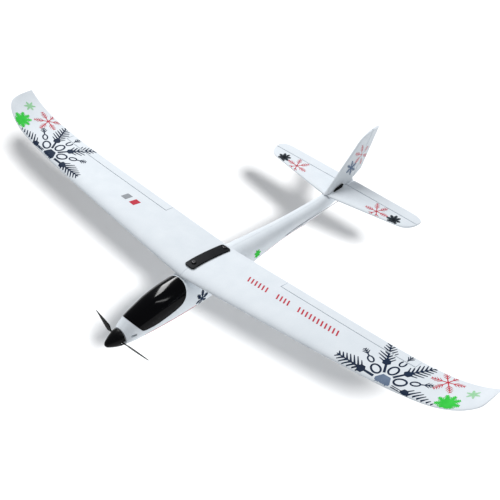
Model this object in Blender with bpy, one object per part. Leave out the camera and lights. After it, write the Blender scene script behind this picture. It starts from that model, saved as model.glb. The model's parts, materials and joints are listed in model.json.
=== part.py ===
"""Foam electric sailplane, 780 mm span. Metres, +Z up, nose towards -Y, the plane's left wing towards +X.

The origin is the middle of the belly skid's underside, just under the balance point.
"""

import math

import bmesh
import bpy
from mathutils import Matrix, Vector

MM = 0.001

# Driving dimensions, in millimetres.
HALF_SPAN = 391.0
WING_LE_Y = -24.0
ROOT_CHORD = 80.0
WING_ROOT_Z = 49.0
DIHEDRAL = 0.058
ROOT_THICKNESS = 9.0
AILERON_CHORD = 13.0
AILERON_INNER = 100.0
AILERON_OUTER = 297.0
HINGE_GAP = 0.5
TAIL_HALF_SPAN = 123.0
TAIL_LE_Y = 227.0
TAIL_TE_Y = 278.0
TAIL_Z = 35.5
TAIL_THICKNESS = 4.0
ELEVATOR_HINGE_Y = 263.0
ELEVATOR_INNER_LEFT = 5.6
ELEVATOR_INNER_RIGHT = 12.0
FIN_BASE_Z = 37.9
FIN_TOP_Z = 97.0
RUDDER_CHORD = 13.0
FIN_SLOPE = 0.63
NOSE_Y = -116.6
NOSE_Z = 16.8
PROP_Y = -121.5
PROP_PHASE = math.radians(10.0)
BLADE_REST_FOLD = math.radians(10.0)
BLADE_PIN_R = 6.0
BLADE_LENGTH = 41.0
WALL = 3.6
CLEAR = 0.35
SERVO_THROW = 7.0
WIRE_R = 0.5
ROD_HOLE_R = 1.15

PLATE_SCREW_Y = (-1.7, 47.6)
SERVO_Y = 28.0

# Where the long stretch of each tail control rod starts and ends.
RUDDER_ROD = (Vector((-7.0, SERVO_Y, 26.0)), Vector((-10.3, 273.0, 30.0)))
ELEVATOR_ROD = (Vector((7.0, SERVO_Y, 20.0)), Vector((13.4, ELEVATOR_HINGE_Y, 27.5)))

# Fuselage lines: station y, centre height, half width, half height.
FUSELAGE_LINES = (
    (-116.6, 16.8, 11.0, 11.0),
    (-109.0, 18.7, 13.4, 13.2),
    (-100.0, 20.7, 15.6, 15.9),
    (-86.0, 22.4, 17.4, 18.4),
    (-66.0, 24.4, 19.3, 21.6),
    (-40.0, 25.0, 20.5, 23.5),
    (10.0, 25.0, 20.5, 23.5),
    (52.0, 26.0, 18.6, 21.3),
    (99.0, 27.2, 15.0, 15.6),
    (146.0, 26.7, 11.7, 11.7),
    (204.0, 25.4, 10.2, 10.2),
    (250.0, 29.0, 6.2, 8.8),
    (279.0, 32.0, 3.2, 5.6),
)


# ---------------------------------------------------------------- scene and materials


def clear_scene():
    for obj in list(bpy.data.objects):
        bpy.data.objects.remove(obj, do_unlink=True)


def material(name, colour, roughness, metallic=0.0):
    made = bpy.data.materials.new(name)
    made.use_nodes = True
    shader = made.node_tree.nodes["Principled BSDF"]
    shader.inputs["Base Color"].default_value = (*colour, 1.0)
    shader.inputs["Roughness"].default_value = roughness
    shader.inputs["Metallic"].default_value = metallic
    made.diffuse_color = (*colour, 1.0)
    return made


def make_materials():
    return {
        "foam": material("white_foam", (0.82, 0.85, 0.88), 0.55),
        "foam_tail": material("tail_foam", (0.80, 0.84, 0.88), 0.55),
        "canopy": material("canopy_black", (0.006, 0.006, 0.008), 0.12),
        "black": material("black_nylon", (0.02, 0.021, 0.024), 0.5),
        "prop": material("prop_black", (0.012, 0.012, 0.013), 0.35),
        "steel": material("steel", (0.62, 0.62, 0.63), 0.28, 1.0),
        "screw": material("black_screw", (0.03, 0.03, 0.032), 0.35, 0.9),
        "carbon": material("carbon_tube", (0.02, 0.02, 0.022), 0.4),
        "board": material("circuit_board", (0.02, 0.16, 0.07), 0.45),
        "battery": material("battery_wrap", (0.05, 0.10, 0.30), 0.4),
        "servo": material("servo_case", (0.03, 0.05, 0.12), 0.4),
        "horn": material("horn_nylon", (0.78, 0.79, 0.80), 0.45),
        "magnet": material("magnet_nickel", (0.7, 0.7, 0.7), 0.22, 1.0),
        "strap": material("strap_velcro", (0.03, 0.03, 0.03), 0.9),
        "skid": material("skid_black", (0.03, 0.03, 0.035), 0.5),
    }


# ---------------------------------------------------------------- mesh helpers


def finish_mesh(name, bm, look=None, smooth_angle=30.0):
    """Turns a bmesh in millimetres into an object in metres, with outward normals."""
    bmesh.ops.recalc_face_normals(bm, faces=bm.faces[:])
    bmesh.ops.scale(bm, vec=(MM, MM, MM), verts=bm.verts[:])
    mesh = bpy.data.meshes.new(name)
    bm.to_mesh(mesh)
    bm.free()
    mesh.shade_smooth()
    mesh.set_sharp_from_angle(angle=math.radians(smooth_angle))
    obj = bpy.data.objects.new(name, mesh)
    bpy.context.scene.collection.objects.link(obj)
    if look is not None:
        mesh.materials.append(look)
    return obj


def as_cutter(obj):
    obj.hide_render = True
    obj.display_type = "WIRE"
    return obj


def boolean(target, other, operation="DIFFERENCE"):
    modifier = target.modifiers.new(other.name, "BOOLEAN")
    modifier.operation = operation
    modifier.solver = "EXACT"
    modifier.object = other
    as_cutter(other)


def loft(name, rings, look=None, smooth_angle=30.0):
    """A closed skin through rings of equally many points, with flat ends."""
    bm = bmesh.new()
    loops = [[bm.verts.new(point) for point in ring] for ring in rings]
    count = len(rings[0])
    for near, far in zip(loops, loops[1:]):
        for i in range(count):
            j = (i + 1) % count
            bm.faces.new((near[i], near[j], far[j], far[i]))
    bm.faces.new(loops[0][::-1])
    bm.faces.new(loops[-1])
    return finish_mesh(name, bm, look, smooth_angle)


def box(name, low, high, look=None, bevel=0.0):
    bm = bmesh.new()
    bmesh.ops.create_cube(bm, size=1.0)
    for vert in bm.verts:
        vert.co = Vector((low[k] + (vert.co[k] + 0.5) * (high[k] - low[k]) for k in range(3)))
    if bevel:
        bmesh.ops.bevel(bm, geom=bm.edges[:], offset=bevel, segments=2, profile=0.5, affect="EDGES")
    return finish_mesh(name, bm, look)


def rod(name, start, end, radius, look=None, sides=16, radius_end=None):
    """A round bar between two points."""
    start, end = Vector(start), Vector(end)
    bm = bmesh.new()
    far = radius if radius_end is None else radius_end
    bmesh.ops.create_cone(bm, cap_ends=True, segments=sides, radius1=radius, radius2=far,
                          depth=(end - start).length)
    turn = Vector((0, 0, 1)).rotation_difference(end - start).to_matrix().to_4x4()
    bmesh.ops.transform(bm, matrix=Matrix.Translation((start + end) / 2) @ turn, verts=bm.verts[:])
    return finish_mesh(name, bm, look)


def wire(name, points, radius, look, sides=8):
    """A bent wire: each ring lies in the plane that halves its bend."""
    points = [Vector(point) for point in points]
    runs = [(b - a).normalized() for a, b in zip(points, points[1:])]
    side = runs[0].cross(runs[1]).normalized() if len(runs) > 1 else runs[0].orthogonal().normalized()
    rings = []
    for i, point in enumerate(points):
        before = runs[max(i - 1, 0)]
        after = runs[min(i, len(runs) - 1)]
        across = side.cross(before).normalized()
        normal = (before + after).normalized()
        ring = []
        for k in range(sides):
            angle = 2 * math.pi * (k + 0.5) / sides
            offset = (side * math.cos(angle) + across * math.sin(angle)) * radius
            slide = -offset.dot(normal) / before.dot(normal)
            ring.append(point + offset + before * slide)
        rings.append(ring)
    return loft(name, rings, look)


def outline_plate(name, outline, low, high, look=None, axis="Z", holes=()):
    """A flat plate: an outline in the two axes across `axis`, from low to high along it."""
    def place(u, v, w):
        return {"X": (w, u, v), "Y": (u, w, v), "Z": (u, v, w)}[axis]

    rings = [[place(u, v, w) for u, v in outline] for w in (low, high)]
    plate = loft(name, rings, look)
    for k, (u, v, radius) in enumerate(holes):
        hole = rod(f"{name}_hole{k}", place(u, v, low - 2), place(u, v, high + 2), radius, sides=16)
        boolean(plate, hole)
    return plate


def set_origin(obj, point):
    """Puts the object's origin at a point in millimetres and leaves its shape where it is."""
    at = Vector(point) * MM
    obj.data.transform(Matrix.Translation(-at))
    obj.location = at
    return obj


# ---------------------------------------------------------------- fuselage


def smooth_between(table, y):
    """Reads a row of a table at y along a smooth curve through its rows."""
    last = len(table) - 1
    i = max(k for k in range(last) if table[k][0] <= y or k == 0)
    rows = [table[max(i - 1, 0)], table[i], table[i + 1], table[min(i + 2, last)]]
    span = rows[2][0] - rows[1][0]
    t = min(max((y - rows[1][0]) / span, 0.0), 1.0)
    found = []
    for column in range(1, len(table[0])):
        values = [row[column] for row in rows]
        slope_in = (values[2] - values[0]) / (rows[2][0] - rows[0][0]) * span
        slope_out = (values[3] - values[1]) / (rows[3][0] - rows[1][0]) * span
        cubic = (2 * t**3 - 3 * t**2 + 1, t**3 - 2 * t**2 + t, 3 * t**2 - 2 * t**3, t**3 - t**2)
        found.append(cubic[0] * values[1] + cubic[1] * slope_in + cubic[2] * values[2] + cubic[3] * slope_out)
    return found


def section_point(y, angle, inset=0.0):
    """A point of the fuselage skin; the angle runs from +X (0) over the top (90 degrees)."""
    middle, half_width, half_height = smooth_between(FUSELAGE_LINES, y)
    power = 2.0 / 2.25
    x = math.copysign(abs(math.cos(angle)) ** power, math.cos(angle)) * (half_width - inset)
    z = math.copysign(abs(math.sin(angle)) ** power, math.sin(angle)) * (half_height - inset)
    return (x, y, middle + z)


def stations(first, last, step):
    count = max(2, round((last - first) / step))
    return [first + (last - first) * k / count for k in range(count + 1)]


def fuselage_body(name, first, last, inset, segments=32, step=9.0, look=None):
    rings = []
    for y in stations(first, last, step):
        rings.append([section_point(y, 2 * math.pi * (k + 0.5) / segments, inset) for k in range(segments)])
    return loft(name, rings, look)


def fuselage_half_body(name, sign, look, segments=14):
    """One moulded half, still solid: a D section whose flat lies just off the middle plane."""
    rings = []
    for y in stations(FUSELAGE_LINES[0][0], FUSELAGE_LINES[-1][0], 9.0):
        ring = []
        for k in range(segments + 1):
            x, _, z = section_point(y, math.pi / 2 - math.pi * k / segments)
            ring.append((sign * max(abs(x), 0.1), y, z))
        rings.append(ring)
    return loft(name, rings, look)


def canopy_outline(gap):
    """The canopy's side view (y, z): leaning front, sill climbing aft, rear edge leaning back."""
    points = [(-109.0 - gap, 41.0), (-98.2 - gap, 24.5), (-95.0 - gap, 20.8 - gap)]
    points += [(-78.0, 20.4 - gap), (-54.0, 24.8 - gap), (-40.5, 28.4 - gap)]
    points += [(-35.0 + gap, 32.2), (-30.6 + gap, 38.4), (-27.4 + gap, 45.0), (-25.0 + gap, 50.0)]
    return points + [(-22.0 + gap, 56.0), (-109.0 - gap, 56.0)]


def saddle_cutter():
    """Everything above the wing's underside, over the wing's chord."""
    steps = 14
    under = []
    for k in range(steps + 1):
        s = k / steps
        under.append(wing_section_point(2.0, s, -1, CLEAR))
    low = [(point[1], point[2] - 0.1) for point in under]
    low[0] = (low[0][0] - CLEAR, low[0][1])
    low[-1] = (low[-1][0] + 0.8, low[-1][1])
    outline = low + [(low[-1][0], 70.0), (low[0][0], 70.0)]
    return outline_plate("saddle_cutter", outline, -26.0, 26.0, axis="X")


def rod_channel(name, ends):
    """The tunnel that a control rod runs in, open where it leaves the boom."""
    start, end = ends
    along = (end - start).normalized()
    return rod(name, start + along * 30.0, end + along * 20.0, 1.6, sides=10)


def make_fuselage(looks):
    hollow_front = fuselage_body("hollow_front", -119.0, 56.0, WALL)
    hollow_boom = fuselage_body("hollow_boom", 50.0, 236.0, WALL)
    opening = outline_plate("canopy_opening", canopy_outline(CLEAR), -30.0, 30.0, axis="X")
    saddle = saddle_cutter()
    seat_z = TAIL_Z - TAIL_THICKNESS / 2 - CLEAR
    tail_seat = box("tail_seat", (-15, 226.3, seat_z), (15, ELEVATOR_HINGE_Y + 2.0, 60))
    cutters = [hollow_front, hollow_boom, opening, saddle, tail_seat]
    cutters.append(rod_channel("rudder_channel", RUDDER_ROD))
    cutters.append(rod_channel("elevator_channel", ELEVATOR_ROD))
    for side, (inner, outer) in (("left", (10.0, 20.0)), ("right", (-20.0, -10.0))):
        cutters.append(box(f"vent_{side}", (inner, -110.8, 18.6), (outer, -103.6, 21.6)))
    cutters.append(box("belly_outlet", (-4, 96.0, 5.0), (4, 106.0, 22.0)))
    for k, y in enumerate(PLATE_SCREW_Y):
        cutters.append(rod(f"bolt_block_seat{k}", (0, y, 30), (0, y, 60), 2.2))
    halves = []
    for name, sign in (("fuselage_left_half", 1), ("fuselage_right_half", -1)):
        half = fuselage_half_body(name, sign, looks["foam"])
        for cutter in cutters:
            boolean(half, cutter)
        halves.append(half)
    return halves


def make_canopy(looks):
    canopy = fuselage_body("canopy", -108.0, -19.0, 0.0, look=looks["canopy"])
    inside = fuselage_body("canopy_inside", -109.0, -18.0, 2.2)
    rib = box("canopy_rib", (-5.0, -37.4, 37.5), (5.0, -34.4, 60.0))
    boolean(inside, rib)
    region = outline_plate("canopy_region", canopy_outline(0.0), -30.0, 30.0, axis="X")
    boolean(canopy, region, "INTERSECT")
    boolean(canopy, inside)
    return canopy


def make_magnets(looks):
    z = 41.0
    upper = rod("canopy_magnet", (0, -34.1, z), (0, -31.6, z), 2.5, looks["magnet"])
    lower = rod("fuselage_magnet", (0, -31.2, z), (0, -28.7, z), 2.5, looks["magnet"])
    return upper, lower


def make_canopy_former(looks):
    """The bulkhead behind the cockpit opening; it carries the fixed magnet and lets the leads through."""
    former = fuselage_body("canopy_former", -28.4, -25.9, WALL + CLEAR, step=2.0, look=looks["black"])
    boolean(former, box("former_top", (-30, -40, 44.2), (30, 0, 60)))
    boolean(former, rod("former_window", (0, -40, 21.0), (0, 0, 21.0), 9.0, sides=24))
    return former


def make_skid(looks):
    """A moulded strip under the belly, with a flat underside at z = 0."""
    skid = box("belly_skid", (-6.0, -72.0, 0.0), (6.0, 38.0, 6.0), looks["skid"])
    body = fuselage_body("skid_seat", -80.0, 46.0, -CLEAR, step=14.0)
    boolean(skid, body)
    return skid


# ---------------------------------------------------------------- wing


def wing_le(x):
    t = max(0.0, (x - 330.0) / (HALF_SPAN - 330.0))
    rounding = 21.0 * (1.0 - math.sqrt(max(0.0, 1.0 - min(t, 1.0) ** 2.5)))
    return WING_LE_Y + 0.062 * x + 0.000035 * x * x + rounding


def wing_te(x):
    flare = 3.0 * max(0.0, (x - 345.0) / (HALF_SPAN - 345.0)) ** 2
    return WING_LE_Y + ROOT_CHORD - 0.010 * x + flare


def wing_mid(x):
    """Height of the chord line: straight dihedral, then a tip that curls up."""
    return WING_ROOT_Z + DIHEDRAL * x + 25.0 * max(0.0, (x - 150.0) / 240.0) ** 5


def wing_thickness(x):
    return max(2.2, ROOT_THICKNESS - 0.0125 * x - 1.8 * max(0.0, (x - 300.0) / 90.0))


def foil(s):
    """Thickness of a foil at s along its chord, 1 at its thickest."""
    return 10.0 * (0.2969 * math.sqrt(s) - 0.126 * s - 0.3516 * s**2 + 0.2843 * s**3 - 0.1036 * s**4)


def wing_section_point(x, s, side, grow=0.0):
    """A point of the wing's skin: s along the chord, side +1 above or -1 below."""
    le, te = wing_le(x), wing_te(x)
    thickness = wing_thickness(x)
    share = 0.72 if side > 0 else 0.28
    lift = thickness * share * foil(s) + 0.45 * s + grow
    incidence = 2.0 * (0.3 - s) * (1.0 - x / HALF_SPAN)
    return (x, le + s * (te - le), wing_mid(x) + incidence + side * lift)


def wing_ring(x, sign, steps=8):
    ring = []
    chord_steps = [0.5 - 0.5 * math.cos(math.pi * k / steps) for k in range(steps + 1)]
    for s in chord_steps[::-1]:
        ring.append(wing_section_point(x, s, 1))
    for s in chord_steps[1:]:
        ring.append(wing_section_point(x, s, -1))
    return [(sign * px, py, pz) for px, py, pz in ring]


def wing_stations():
    straight = [0.15 + (300.0 - 0.15) * k / 7 for k in range(8)]
    tip = [300.0 + (HALF_SPAN - 300.0) * math.sin(math.pi / 2 * k / 8) for k in range(1, 9)]
    return straight + tip


def wing_solid(name, sign, look=None):
    return loft(name, [wing_ring(x, sign) for x in wing_stations()], look)


def aileron_hinge(x, sign):
    """The middle of the hinge gap at a span station."""
    y = wing_te(x) - AILERON_CHORD
    s = (y - wing_le(x)) / (wing_te(x) - wing_le(x))
    above = wing_section_point(x, s, 1)[2]
    below = wing_section_point(x, s, -1)[2]
    return Vector((sign * x, y, (above + below) / 2))


def aileron_region(name, sign, gap):
    """A prism round the aileron: gap > 0 is the room cut from the wing, gap < 0 the aileron itself."""
    rings = []
    for x in (AILERON_INNER - gap, AILERON_OUTER + gap):
        hinge = aileron_hinge(x, sign)
        near, far = hinge.y - gap, wing_te(x) + 8.0
        rings.append([(hinge.x, near, hinge.z - 14), (hinge.x, far, hinge.z - 14),
                      (hinge.x, far, hinge.z + 14), (hinge.x, near, hinge.z + 14)])
    return loft(name, rings)


def spar_line(sign):
    points = []
    for x in (5.0, 230.0):
        under = wing_section_point(x, 0.24, -1)
        points.append(Vector((sign * x, under[1], under[2] + 1.55)))
    return points


def spar_groove(name, sign):
    rings = []
    start, end = spar_line(sign)
    along = (end - start).normalized()
    section = ((-1.8, -8), (1.8, -8), (1.8, 1.8), (-1.8, 1.8))
    for point in (start - along, end + along):
        rings.append([(point.x, point.y + u, point.z + w) for u, w in section])
    return loft(name, rings)


def aileron_servo_axis(sign):
    return Vector((sign * 120.0, 18.0, wing_mid(120.0) - 0.4))


def make_wing(side, sign, looks):
    panel = wing_solid(f"wing_{side}", sign, looks["foam"])
    aileron = wing_solid(f"aileron_{side}", sign, looks["foam"])
    boolean(panel, aileron_region(f"aileron_cut_{side}", sign, HINGE_GAP))
    boolean(aileron, aileron_region(f"aileron_keep_{side}", sign, -HINGE_GAP), "INTERSECT")
    boolean(panel, spar_groove(f"spar_groove_{side}", sign))
    axis = aileron_servo_axis(sign)
    inner, outer = sorted((sign * 104.4, sign * 124.0))
    boolean(panel, box(f"servo_bay_{side}", (inner, 5.4, axis.z - 20), (outer, 24.8, axis.z + 3.3)))
    for k, y in enumerate(PLATE_SCREW_Y):
        boolean(panel, rod(f"screw_bore_{side}{k}", (0, y, 30), (0, y, 70), 1.8))
    spar = rod(f"wing_spar_{side}", *spar_line(sign), 1.5, looks["carbon"], sides=12)
    set_origin(aileron, aileron_hinge((AILERON_INNER + AILERON_OUTER) / 2, sign))
    return panel, aileron, spar


def wing_top(y):
    """Height of the wing's upper skin on the middle plane."""
    return wing_section_point(0.15, (y - WING_LE_Y) / ROOT_CHORD, 1)[2]


def make_wing_plate(looks):
    """The clamp plate bolted over the wing joint; it follows the top of the wing section."""
    rings = []
    first, last, half = -10.0, 51.5, 7.6
    steps = 12
    for k in range(steps + 1):
        t = k / steps
        y = first + (last - first) * (0.5 - 0.5 * math.cos(math.pi * t))
        top = wing_top(y) + 0.75
        from_end = min(y - first, last - y)
        narrow = 2.6 * (1.0 - math.sqrt(max(0.0, 1.0 - max(0.0, 1.0 - from_end / 3.0) ** 2)))
        w = half - narrow
        rings.append([(-w, y, top), (w, y, top), (w, y, top + 1.0), (w - 0.6, y, top + 1.5),
                      (-w + 0.6, y, top + 1.5), (-w, y, top + 1.0)])
    plate = loft("wing_plate", rings, looks["black"])
    for k, y in enumerate(PLATE_SCREW_Y):
        boolean(plate, rod(f"plate_bore{k}", (0, y, 30), (0, y, 80), 1.8))
        seat = wing_top(y) + 1.75
        boolean(plate, rod(f"plate_seat{k}", (0, y, seat), (0, y, 80), 3.3, sides=20))
    return plate


def screw(name, top, bottom, look):
    """A pan-head screw down a bore, with a cross recess in its head."""
    centre = Vector(top)
    head = rod(name, centre, centre + Vector((0, 0, 1.7)), 2.9, look, radius_end=2.3)
    shank = rod(f"{name}_shank", centre + Vector((0, 0, 0.4)), bottom, 1.3, sides=12)
    boolean(head, shank, "UNION")
    for k, (u, v) in enumerate(((1.5, 0.35), (0.35, 1.5))):
        low = (centre.x - u, centre.y - v, centre.z + 0.9)
        boolean(head, box(f"{name}_recess{k}", low, (centre.x + u, centre.y + v, centre.z + 3)))
    return head


def make_wing_screws(looks):
    made = []
    for name, y in zip(("front", "rear"), PLATE_SCREW_Y):
        made.append(screw(f"wing_screw_{name}", (0, y, wing_top(y) + 2.1), (0, y, 37.0), looks["screw"]))
        block = box(f"wing_bolt_block_{name}", (-7, y - 5, 34.5), (7, y + 5, 41.2), looks["black"], bevel=0.8)
        boolean(block, rod(f"{name}_block_bore", (0, y, 30), (0, y, 60), 1.7))
        made.append(block)
    return made


# ---------------------------------------------------------------- tail


def tail_le(x):
    t = max(0.0, min(1.0, (x - 95.0) / (TAIL_HALF_SPAN - 95.0)))
    return TAIL_LE_Y + 0.167 * x + 20.0 * (1.0 - math.sqrt(1.0 - t**4.5))


def tail_te(x):
    t = max(0.0, min(1.0, (x - 100.0) / (TAIL_HALF_SPAN - 100.0)))
    return TAIL_TE_Y - 8.0 * (1.0 - math.sqrt(1.0 - t**2.5))


def plate_foil(s):
    """Half thickness of a foam sheet foil: a round nose, a flat middle and a thin trailing edge."""
    nose = math.sqrt(min(s / 0.10, 1.0) * (2.0 - min(s / 0.10, 1.0)))
    return 0.16 + 0.84 * nose * (1.0 - 0.72 * max(0.0, (s - 0.6) / 0.4))


def sheet_ring(le, te, thickness, place, steps=7):
    chord_steps = [0.5 - 0.5 * math.cos(math.pi * k / steps) for k in range(steps + 1)]
    ring = []
    for side, values in ((1, chord_steps[::-1]), (-1, chord_steps)):
        for s in values:
            ring.append(place(le + s * (te - le), side * thickness / 2 * plate_foil(s)))
    return ring


def tail_solid(name, look=None):
    rings = []
    count = 9
    spans = [TAIL_HALF_SPAN * math.sin(math.pi / 2 * k / count) for k in range(-count, count + 1)]
    for x in spans:
        thickness = TAIL_THICKNESS - 1.6 * abs(x) / TAIL_HALF_SPAN
        place = (lambda x: lambda y, h: (x, y, TAIL_Z + h))(x)
        rings.append(sheet_ring(tail_le(abs(x)), tail_te(abs(x)), thickness, place))
    return loft(name, rings, look)


def make_tailplane(looks):
    far = TAIL_HALF_SPAN + 10
    stabiliser = tail_solid("stabiliser", looks["foam_tail"])
    boolean(stabiliser, box("elevator_cut", (-far, ELEVATOR_HINGE_Y - HINGE_GAP, 20), (far, 290, 50)))
    groove_ends = [(x, ELEVATOR_HINGE_Y, TAIL_Z) for x in (-17, 11)]
    boolean(stabiliser, rod("joiner_groove", *groove_ends, 1.0))
    halves = []
    ends = (("left", ELEVATOR_INNER_LEFT, far, 8.0), ("right", -far, -ELEVATOR_INNER_RIGHT, -15.0))
    for side, low, high, leg_x in ends:
        half = tail_solid(f"elevator_{side}", looks["foam_tail"])
        keep = box(f"elevator_keep_{side}", (low, ELEVATOR_HINGE_Y + HINGE_GAP, 20), (high, 290, 50))
        boolean(half, keep, "INTERSECT")
        low = (leg_x - 0.9, 260, TAIL_Z - 0.9)
        pocket = box(f"joiner_pocket_{side}", low, (leg_x + 0.9, 268.5, TAIL_Z + 0.9))
        boolean(half, pocket)
        halves.append(set_origin(half, (leg_x, ELEVATOR_HINGE_Y, TAIL_Z)))
    corners = [(-15.0, 267.5), (-15.0, ELEVATOR_HINGE_Y), (8.0, ELEVATOR_HINGE_Y), (8.0, 267.5)]
    joiner = wire("elevator_joiner", [(x, y, TAIL_Z) for x, y in corners], 0.5, looks["steel"])
    set_origin(joiner, (0, ELEVATOR_HINGE_Y, TAIL_Z))
    return [stabiliser, joiner] + halves


def fin_le(z):
    t = max(0.0, min(1.0, (z - 84.0) / (FIN_TOP_Z - 84.0)))
    return 225.0 + 1.27 * (z - FIN_BASE_Z) - 3.0 * t + 22.0 * (1.0 - math.sqrt(1.0 - t**3))


def fin_te(z):
    return 295.0 + FIN_SLOPE * (z - 44.7)


def fin_solid(name, look=None):
    rings = []
    count = 12
    for k in range(count + 1):
        z = FIN_BASE_Z + (FIN_TOP_Z - FIN_BASE_Z) * math.sin(math.pi / 2 * k / count)
        base = max(0.0, 1.0 - (z - FIN_BASE_Z) / 12.0)
        thickness = 4.6 - 1.8 * (z - FIN_BASE_Z) / (FIN_TOP_Z - FIN_BASE_Z) + 2.2 * base**2
        place = (lambda z: lambda y, h: (h, y, z))(z)
        rings.append(sheet_ring(fin_le(z), fin_te(z), thickness, place))
    return loft(name, rings, look)


def rudder_hinge(z):
    return Vector((0.0, fin_te(z) - RUDDER_CHORD, z))


def rudder_region(name, gap):
    """The slab behind the swept hinge line, closed below by the rudder's sloping lower edge."""
    low, high = rudder_hinge(FIN_BASE_Z - 8.0), rudder_hinge(FIN_TOP_Z + 8.0)
    if gap > 0:
        outline = [(low.y - gap, low.z), (low.y + 60, low.z), (high.y + 60, high.z), (high.y - gap, high.z)]
    else:
        foot = rudder_hinge(40.2)
        outline = [(foot.y - gap, foot.z), (foot.y + 14.0, foot.z + 4.6), (foot.y + 60, foot.z + 20),
                   (high.y + 60, high.z), (high.y - gap, high.z)]
    return outline_plate(name, outline, -10.0, 10.0, axis="X")


def make_fin(looks):
    fin = fin_solid("fin", looks["foam_tail"])
    boolean(fin, rudder_region("rudder_cut", 0.7))
    rudder = fin_solid("rudder", looks["foam_tail"])
    boolean(rudder, rudder_region("rudder_keep", -0.7), "INTERSECT")
    set_origin(rudder, rudder_hinge(60.0))
    return fin, rudder


def make_stab_clips(looks):
    """Black clips that hold the tailplane down against the fin's foot, one on each side."""
    clips = []
    for side, sign in (("left", 1), ("right", -1)):
        low, high = sorted((sign * 3.9, sign * 5.6))
        outline = [(238.0, 37.9), (254.0, 37.9), (256.5, 41.2), (255.5, 42.6), (243.0, 41.0)]
        clips.append(outline_plate(f"stab_clip_{side}", outline, low, high, looks["black"], axis="X"))
    return clips


# ---------------------------------------------------------------- propeller and motor


def prop_matrix(half_turn=False):
    turn = PROP_PHASE + (math.pi if half_turn else 0.0)
    return Matrix.Translation(Vector((0, PROP_Y, NOSE_Z)) * MM) @ Matrix.Rotation(turn, 4, "Y")


def on_prop(obj, half_turn=False):
    """Moves a shape drawn about the hub, blades along X, to its place on the shaft."""
    obj.data.transform(prop_matrix(half_turn))
    return obj


def make_hub(looks):
    """The yoke: a barrel on the shaft with a forked ear on each side for a blade."""
    hub = on_prop(box("prop_hub", (-7.6, -1.8, -2.7), (7.6, 1.8, 2.7), looks["black"], bevel=0.3))
    boolean(hub, on_prop(rod("hub_barrel", (0, -4.0, 0), (0, 2.9, 0), 3.1, sides=20)), "UNION")
    boolean(hub, on_prop(rod("hub_bore", (0, -3.2, 0), (0, 5.0, 0), 1.25, sides=16)))
    for side in (-1, 1):
        low, high = sorted((side * 3.7, side * 9.0))
        boolean(hub, on_prop(box(f"fork_slot{side}", (low, -5, -1.55), (high, 5, 1.55))))
        x = side * BLADE_PIN_R
        boolean(hub, on_prop(rod(f"fork_bore{side}", (x, 0, -5), (x, 0, 5), 0.95, sides=12)))
    return set_origin(hub, (0, PROP_Y, NOSE_Z))


def make_blade_pins(looks):
    pins = []
    for name, half_turn in (("left", False), ("right", True)):
        ends = [(BLADE_PIN_R, 0, z) for z in (-2.9, 2.9)]
        pin = rod(f"blade_pin_{name}", *ends, 0.6, looks["steel"], sides=12)
        pins.append(set_origin(on_prop(pin, half_turn), (0, PROP_Y, NOSE_Z)))
    return pins


def spinner_radius(t):
    """Radius at t from the base (0) to the blunt tip (1)."""
    nose = max(0.0, (t - 0.88) / 0.12)
    return 10.8 * (1.0 - 0.78 * t**1.5) * math.sqrt(max(0.0, 1.0 - nose**2))


def make_spinner(looks):
    base, length, wall = 3.3, 21.2, 1.1
    segments, steps = 32, 10
    rings = []
    for k in range(steps + 1):
        t = 0.99 * math.sin(math.pi / 2 * k / steps)
        radius = spinner_radius(t)
        rings.append([(radius * math.cos(2 * math.pi * i / segments), base - length * t,
                       radius * math.sin(2 * math.pi * i / segments)) for i in range(segments)])
    spinner = on_prop(loft("spinner", rings, looks["prop"]))
    hollow = []
    for k in range(6):
        t = k / 5 * 0.62
        radius = spinner_radius(t) - wall - 1.2 * t
        y = base - length * t + (0.5 if k == 0 else 0.0)
        hollow.append([(radius * math.cos(2 * math.pi * i / segments), y,
                        radius * math.sin(2 * math.pi * i / segments)) for i in range(segments)])
    boolean(spinner, on_prop(loft("spinner_hollow", hollow)))
    for side in (-1, 1):
        low, high = sorted((side * 3.9, side * 14.0))
        boolean(spinner, on_prop(box(f"spinner_slot{side}", (low, -2.7, -2.2), (high, 6.0, 2.2))))
    return set_origin(spinner, (0, PROP_Y, NOSE_Z))


def blade_chord(s):
    """Chord along the blade, in millimetres: a narrow neck, a wide inner third, a pointed tip."""
    if s < 5.0:
        return 2.3
    grow = min(1.0, (s - 5.0) / 8.0)
    swell = 2.3 + 5.9 * grow * grow * (3.0 - 2.0 * grow)
    taper = max(0.0, (s - 13.0) / (BLADE_LENGTH - 13.0))
    return swell * (1.0 - 0.9 * taper**1.35)


def make_blade(name, half_turn, looks):
    rings = []
    count = 18
    for k in range(count + 1):
        s = BLADE_LENGTH * k / count
        pitch = math.radians(-(24.0 - 16.0 * s / BLADE_LENGTH) * min(1.0, max(0.0, (s - 2.5) / 7.0)))
        half_chord = blade_chord(s) / 2
        half_thick = 1.1 if s < 3 else max(0.5, 1.1 - 0.10 * (s - 3.0))
        ring = []
        for i in range(10):
            angle = 2 * math.pi * i / 10
            c, h = half_chord * math.cos(angle), half_thick * math.sin(angle)
            y = c * math.sin(pitch) + h * math.cos(pitch)
            z = c * math.cos(pitch) - h * math.sin(pitch)
            ring.append((s, y, z))
        rings.append(ring)
    blade = loft(name, rings, looks["prop"])
    boolean(blade, rod(f"{name}_eye", (0, 0, -1.25), (0, 0, 1.25), 1.75, sides=18), "UNION")
    boolean(blade, rod(f"{name}_bore", (0, 0, -4), (0, 0, 4), 0.85, sides=12))
    place = prop_matrix(half_turn) @ Matrix.Translation((BLADE_PIN_R * MM, 0, 0))
    place = place @ Matrix.Rotation(BLADE_REST_FOLD, 4, "Z")
    blade.matrix_world = place
    for modifier in blade.modifiers:
        modifier.object.matrix_world = place
    return blade


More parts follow.
